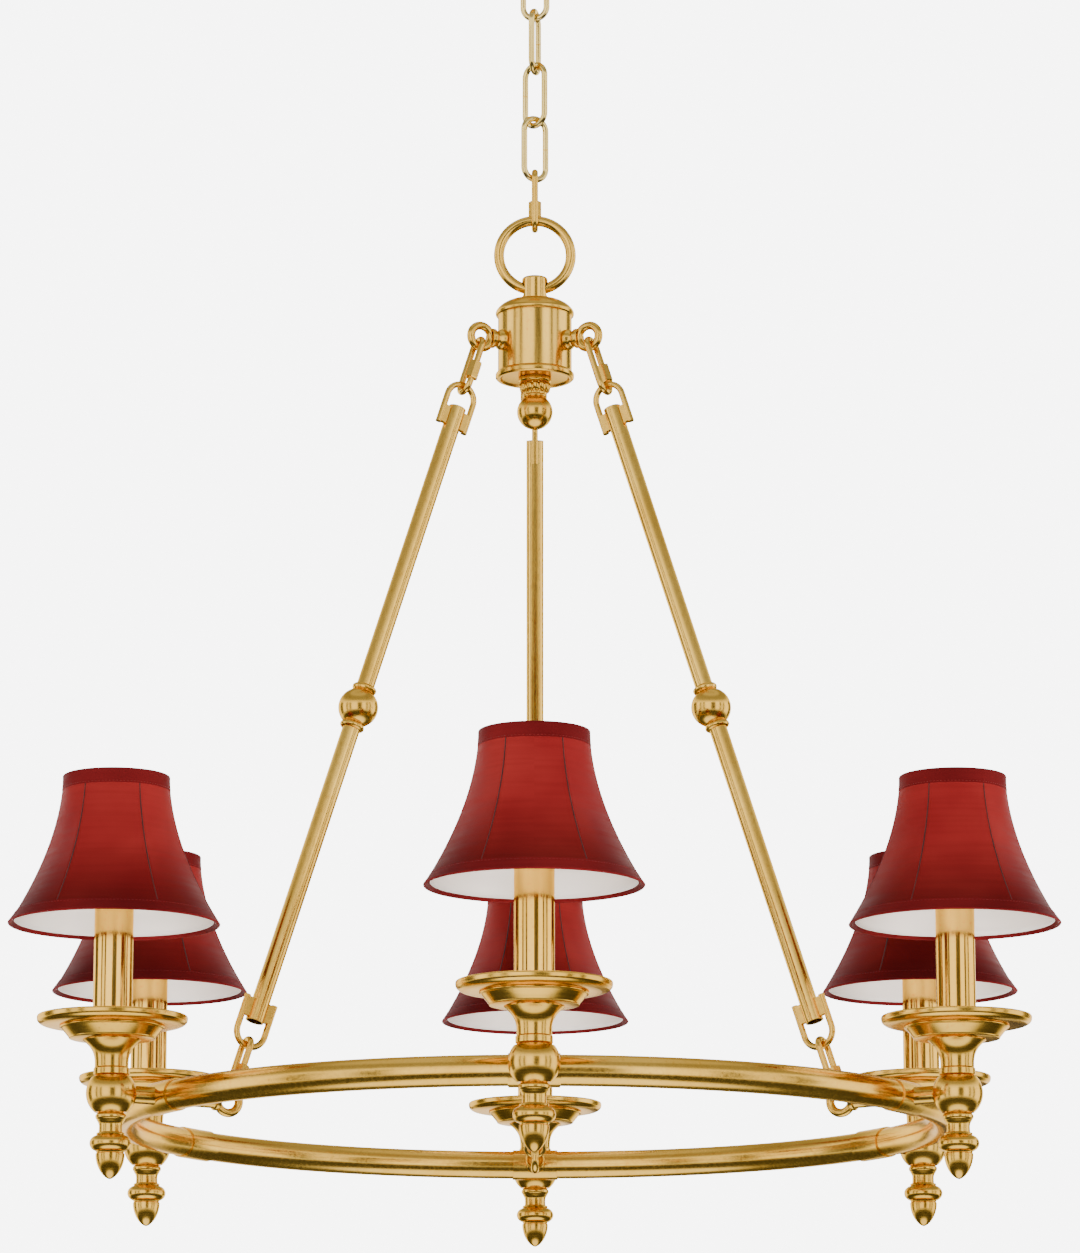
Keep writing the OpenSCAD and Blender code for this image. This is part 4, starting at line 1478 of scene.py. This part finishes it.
@dataclass
class Studio:
    """Camera, soft surroundings and a pale floor."""

    camera_place: tuple[float, float, float] = (0.004, -3.916, -1.453)
    camera_pitch: float = 12.024
    lens: float = 149.7
    floor_height: float = -2.6
    backdrop: float = 7.0
    heights: tuple[tuple[float, float], ...] = (
        (-90, 2.3), (-64, 2.2), (-55, 0.12), (-26, 0.06), (-15, 2.0), (24, 1.9), (36, 0.5), (56, 0.45),
        (66, 0.9), (90, 0.7),
    )
    panels: tuple[tuple[float, float], ...] = (
        (-60, 1.0), (-49, 1.0), (-47, 0.05), (-40, 0.05), (-38, 1.25), (-3, 1.25), (0, 0.06), (22, 0.10), (25, 1.25),
        (48, 1.25), (50, 0.05), (57, 0.06), (59, 1.0),
    )
    panel_middle: float = 2.0
    panel_reach: float = 19.0
    ambient: float = 0.1
    warmth: Color = (1.0, 0.975, 0.94)
    floor_half: float = 40.0

    def build(self) -> None:
        """Sets up the whole studio."""
        self.camera()
        self.surroundings()
        self.floor()
        self.lamp("front_panel", (0.5, -4.8, -1.2), 210, 1.6)
        self.lamp("back_panel", (-0.5, 4.8, -1.2), 210, 1.6)
        self.lamp("low_panel_right", (2.2, -0.3, -2.6), 80, 1.2)
        self.lamp("low_panel_left", (-2.2, -0.3, -2.6), 60, 1.2)

    def camera(self) -> None:
        """Puts up the camera."""
        lens = bpy.data.cameras.new("camera")
        lens.lens, lens.sensor_width, lens.sensor_fit = self.lens, 36.0, "AUTO"
        lens.clip_start, lens.clip_end = 0.05, 60
        thing = shown("camera", lens)
        thing.location = self.camera_place
        thing.rotation_euler = (math.radians(90 + self.camera_pitch), 0, 0)
        bpy.context.scene.camera = thing

    def surroundings(self) -> None:
        """Makes a white backdrop, and soft panels with dark gaps that the metal mirrors."""
        world = bpy.data.worlds.new("studio")
        world.use_nodes = True
        bpy.context.scene.world = world
        nodes, links = world.node_tree.nodes, world.node_tree.links
        nodes.clear()
        look = nodes.new("ShaderNodeSeparateXYZ")
        links.new(nodes.new("ShaderNodeTexCoord").outputs["Generated"], look.inputs[0])

        def math_node(operation: str, *values: object) -> object:
            """One step of arithmetic."""
            node = nodes.new("ShaderNodeMath")
            node.operation = operation
            for socket, value in zip(node.inputs, values):
                if isinstance(value, bpy.types.NodeSocket):
                    links.new(value, socket)
                else:
                    socket.default_value = value
            return node.outputs[0]

        def ramp(factor: object, stops: Sequence[tuple[float, float]], low: float, high: float) -> object:
            """A brightness for each angle."""
            node = nodes.new("ShaderNodeValToRGB")
            tinted = [(angle, tuple(value * tint for tint in self.warmth)) for angle, value in stops]
            fill_ramp(node, [((angle - low) / (high - low), color) for angle, color in tinted])
            links.new(factor, node.inputs["Fac"])
            return node.outputs["Color"]

        rise = math_node("ADD", math_node("DIVIDE", math_node("ARCSINE", look.outputs["Z"]), math.pi), 0.5)
        back = math_node("MULTIPLY", look.outputs["Y"], -1.0)
        turn = math_node("DIVIDE", math_node("ARCTAN2", look.outputs["X"], back), 2 * math.pi / 3)
        turn = math_node("FRACT", math_node("ADD", turn, 2.5))
        level = nodes.new("ShaderNodeMix")
        level.data_type, level.blend_type = "RGBA", "MULTIPLY"
        off = math_node("ABSOLUTE", math_node("SUBTRACT", rise, 0.5 + self.panel_middle / 180))
        band = math_node("LESS_THAN", off, self.panel_reach / 180)
        links.new(band, level.inputs[0])
        colors = [s for s in level.inputs if s.type == "RGBA"]
        links.new(ramp(rise, self.heights, -90, 90), colors[0])
        links.new(ramp(turn, self.panels, -60, 60), colors[1])
        soft, plain, even = (nodes.new("ShaderNodeBackground") for _ in range(3))
        links.new(next(s for s in level.outputs if s.type == "RGBA"), soft.inputs["Color"])
        plain.inputs["Color"].default_value = (1, 1, 1, 1)
        plain.inputs["Strength"].default_value = self.backdrop
        even.inputs["Strength"].default_value = self.ambient
        path, out = nodes.new("ShaderNodeLightPath").outputs, nodes.new("ShaderNodeOutputWorld")
        light = soft.outputs[0]
        for ray, background in (("Is Diffuse Ray", even), ("Is Camera Ray", plain)):
            choice = nodes.new("ShaderNodeMixShader")
            links.new(path[ray], choice.inputs[0])
            links.new(light, choice.inputs[1])
            links.new(background.outputs[0], choice.inputs[2])
            light = choice.outputs[0]
        links.new(light, out.inputs["Surface"])

    def floor(self) -> None:
        """Lays a pale floor that is seen from above only."""
        tree = ShaderTree("pale_floor")
        grain = tree.ramp(tree.noise(3, 4), [(0.3, (0.80, 0.79, 0.77)), (0.7, (0.86, 0.85, 0.83))])
        tree.drive("Base Color", grain)
        tree.set(Roughness=0.8, Emission_Color=(0.86, 0.85, 0.83, 1), Emission_Strength=2.2)
        clear = tree.nodes.new("ShaderNodeBsdfTransparent")
        choice = tree.nodes.new("ShaderNodeMixShader")
        side = tree.nodes.new("ShaderNodeNewGeometry").outputs["Backfacing"]
        tree.links.new(side, choice.inputs[0])
        tree.links.new(tree.shader.outputs[0], choice.inputs[1])
        tree.links.new(clear.outputs[0], choice.inputs[2])
        tree.links.new(choice.outputs[0], tree.nodes["Material Output"].inputs["Surface"])
        mesh = bpy.data.meshes.new("floor")
        half = self.floor_half
        corners = [(-half, -half), (half, -half), (half, half), (-half, half)]
        mesh.from_pydata([(x, y, self.floor_height) for x, y in corners], [], [(0, 1, 2, 3)])
        mesh.materials.append(tree.material)
        thing = shown("floor", mesh)
        thing.visible_glossy = thing.visible_diffuse = thing.visible_shadow = False

    @staticmethod
    def lamp(name: str, place: tuple[float, float, float], watts: float, size: float) -> None:
        """A soft panel that faces the middle of the object and that the metal doesn't mirror.

        Args:
            name: the panel's name.
            place: where it stands, in metres.
            watts: its strength.
            size: its width and height in metres.
        """
        light = bpy.data.lights.new(name, "AREA")
        light.energy, light.size = watts, size
        thing = shown(name, light)
        thing.location = place
        aim = Vector((0, 0, -0.75)) - Vector(place)
        thing.rotation_euler = aim.to_track_quat("-Z", "Y").to_euler()
        thing.visible_glossy = False


def main() -> None:
    """Builds the studio and every piece of the chandelier."""
    logging.basicConfig(level=logging.INFO, format="%(message)s")
    Studio().build()
    CeilingFitting().build()
    Chain().build()
    Suspension().build()
    Hub().build()
    RodSet().build()
    RingSet().build()
    LampSet().build()
    bulb, shade = Bulb(), Shade()
    for station in Station:
        bulb.build(station)
        shade.build(station)
        dress(Finish.FRAME_WIRE, f"frame_{station.label}")


if __name__ == "__main__":
    main()
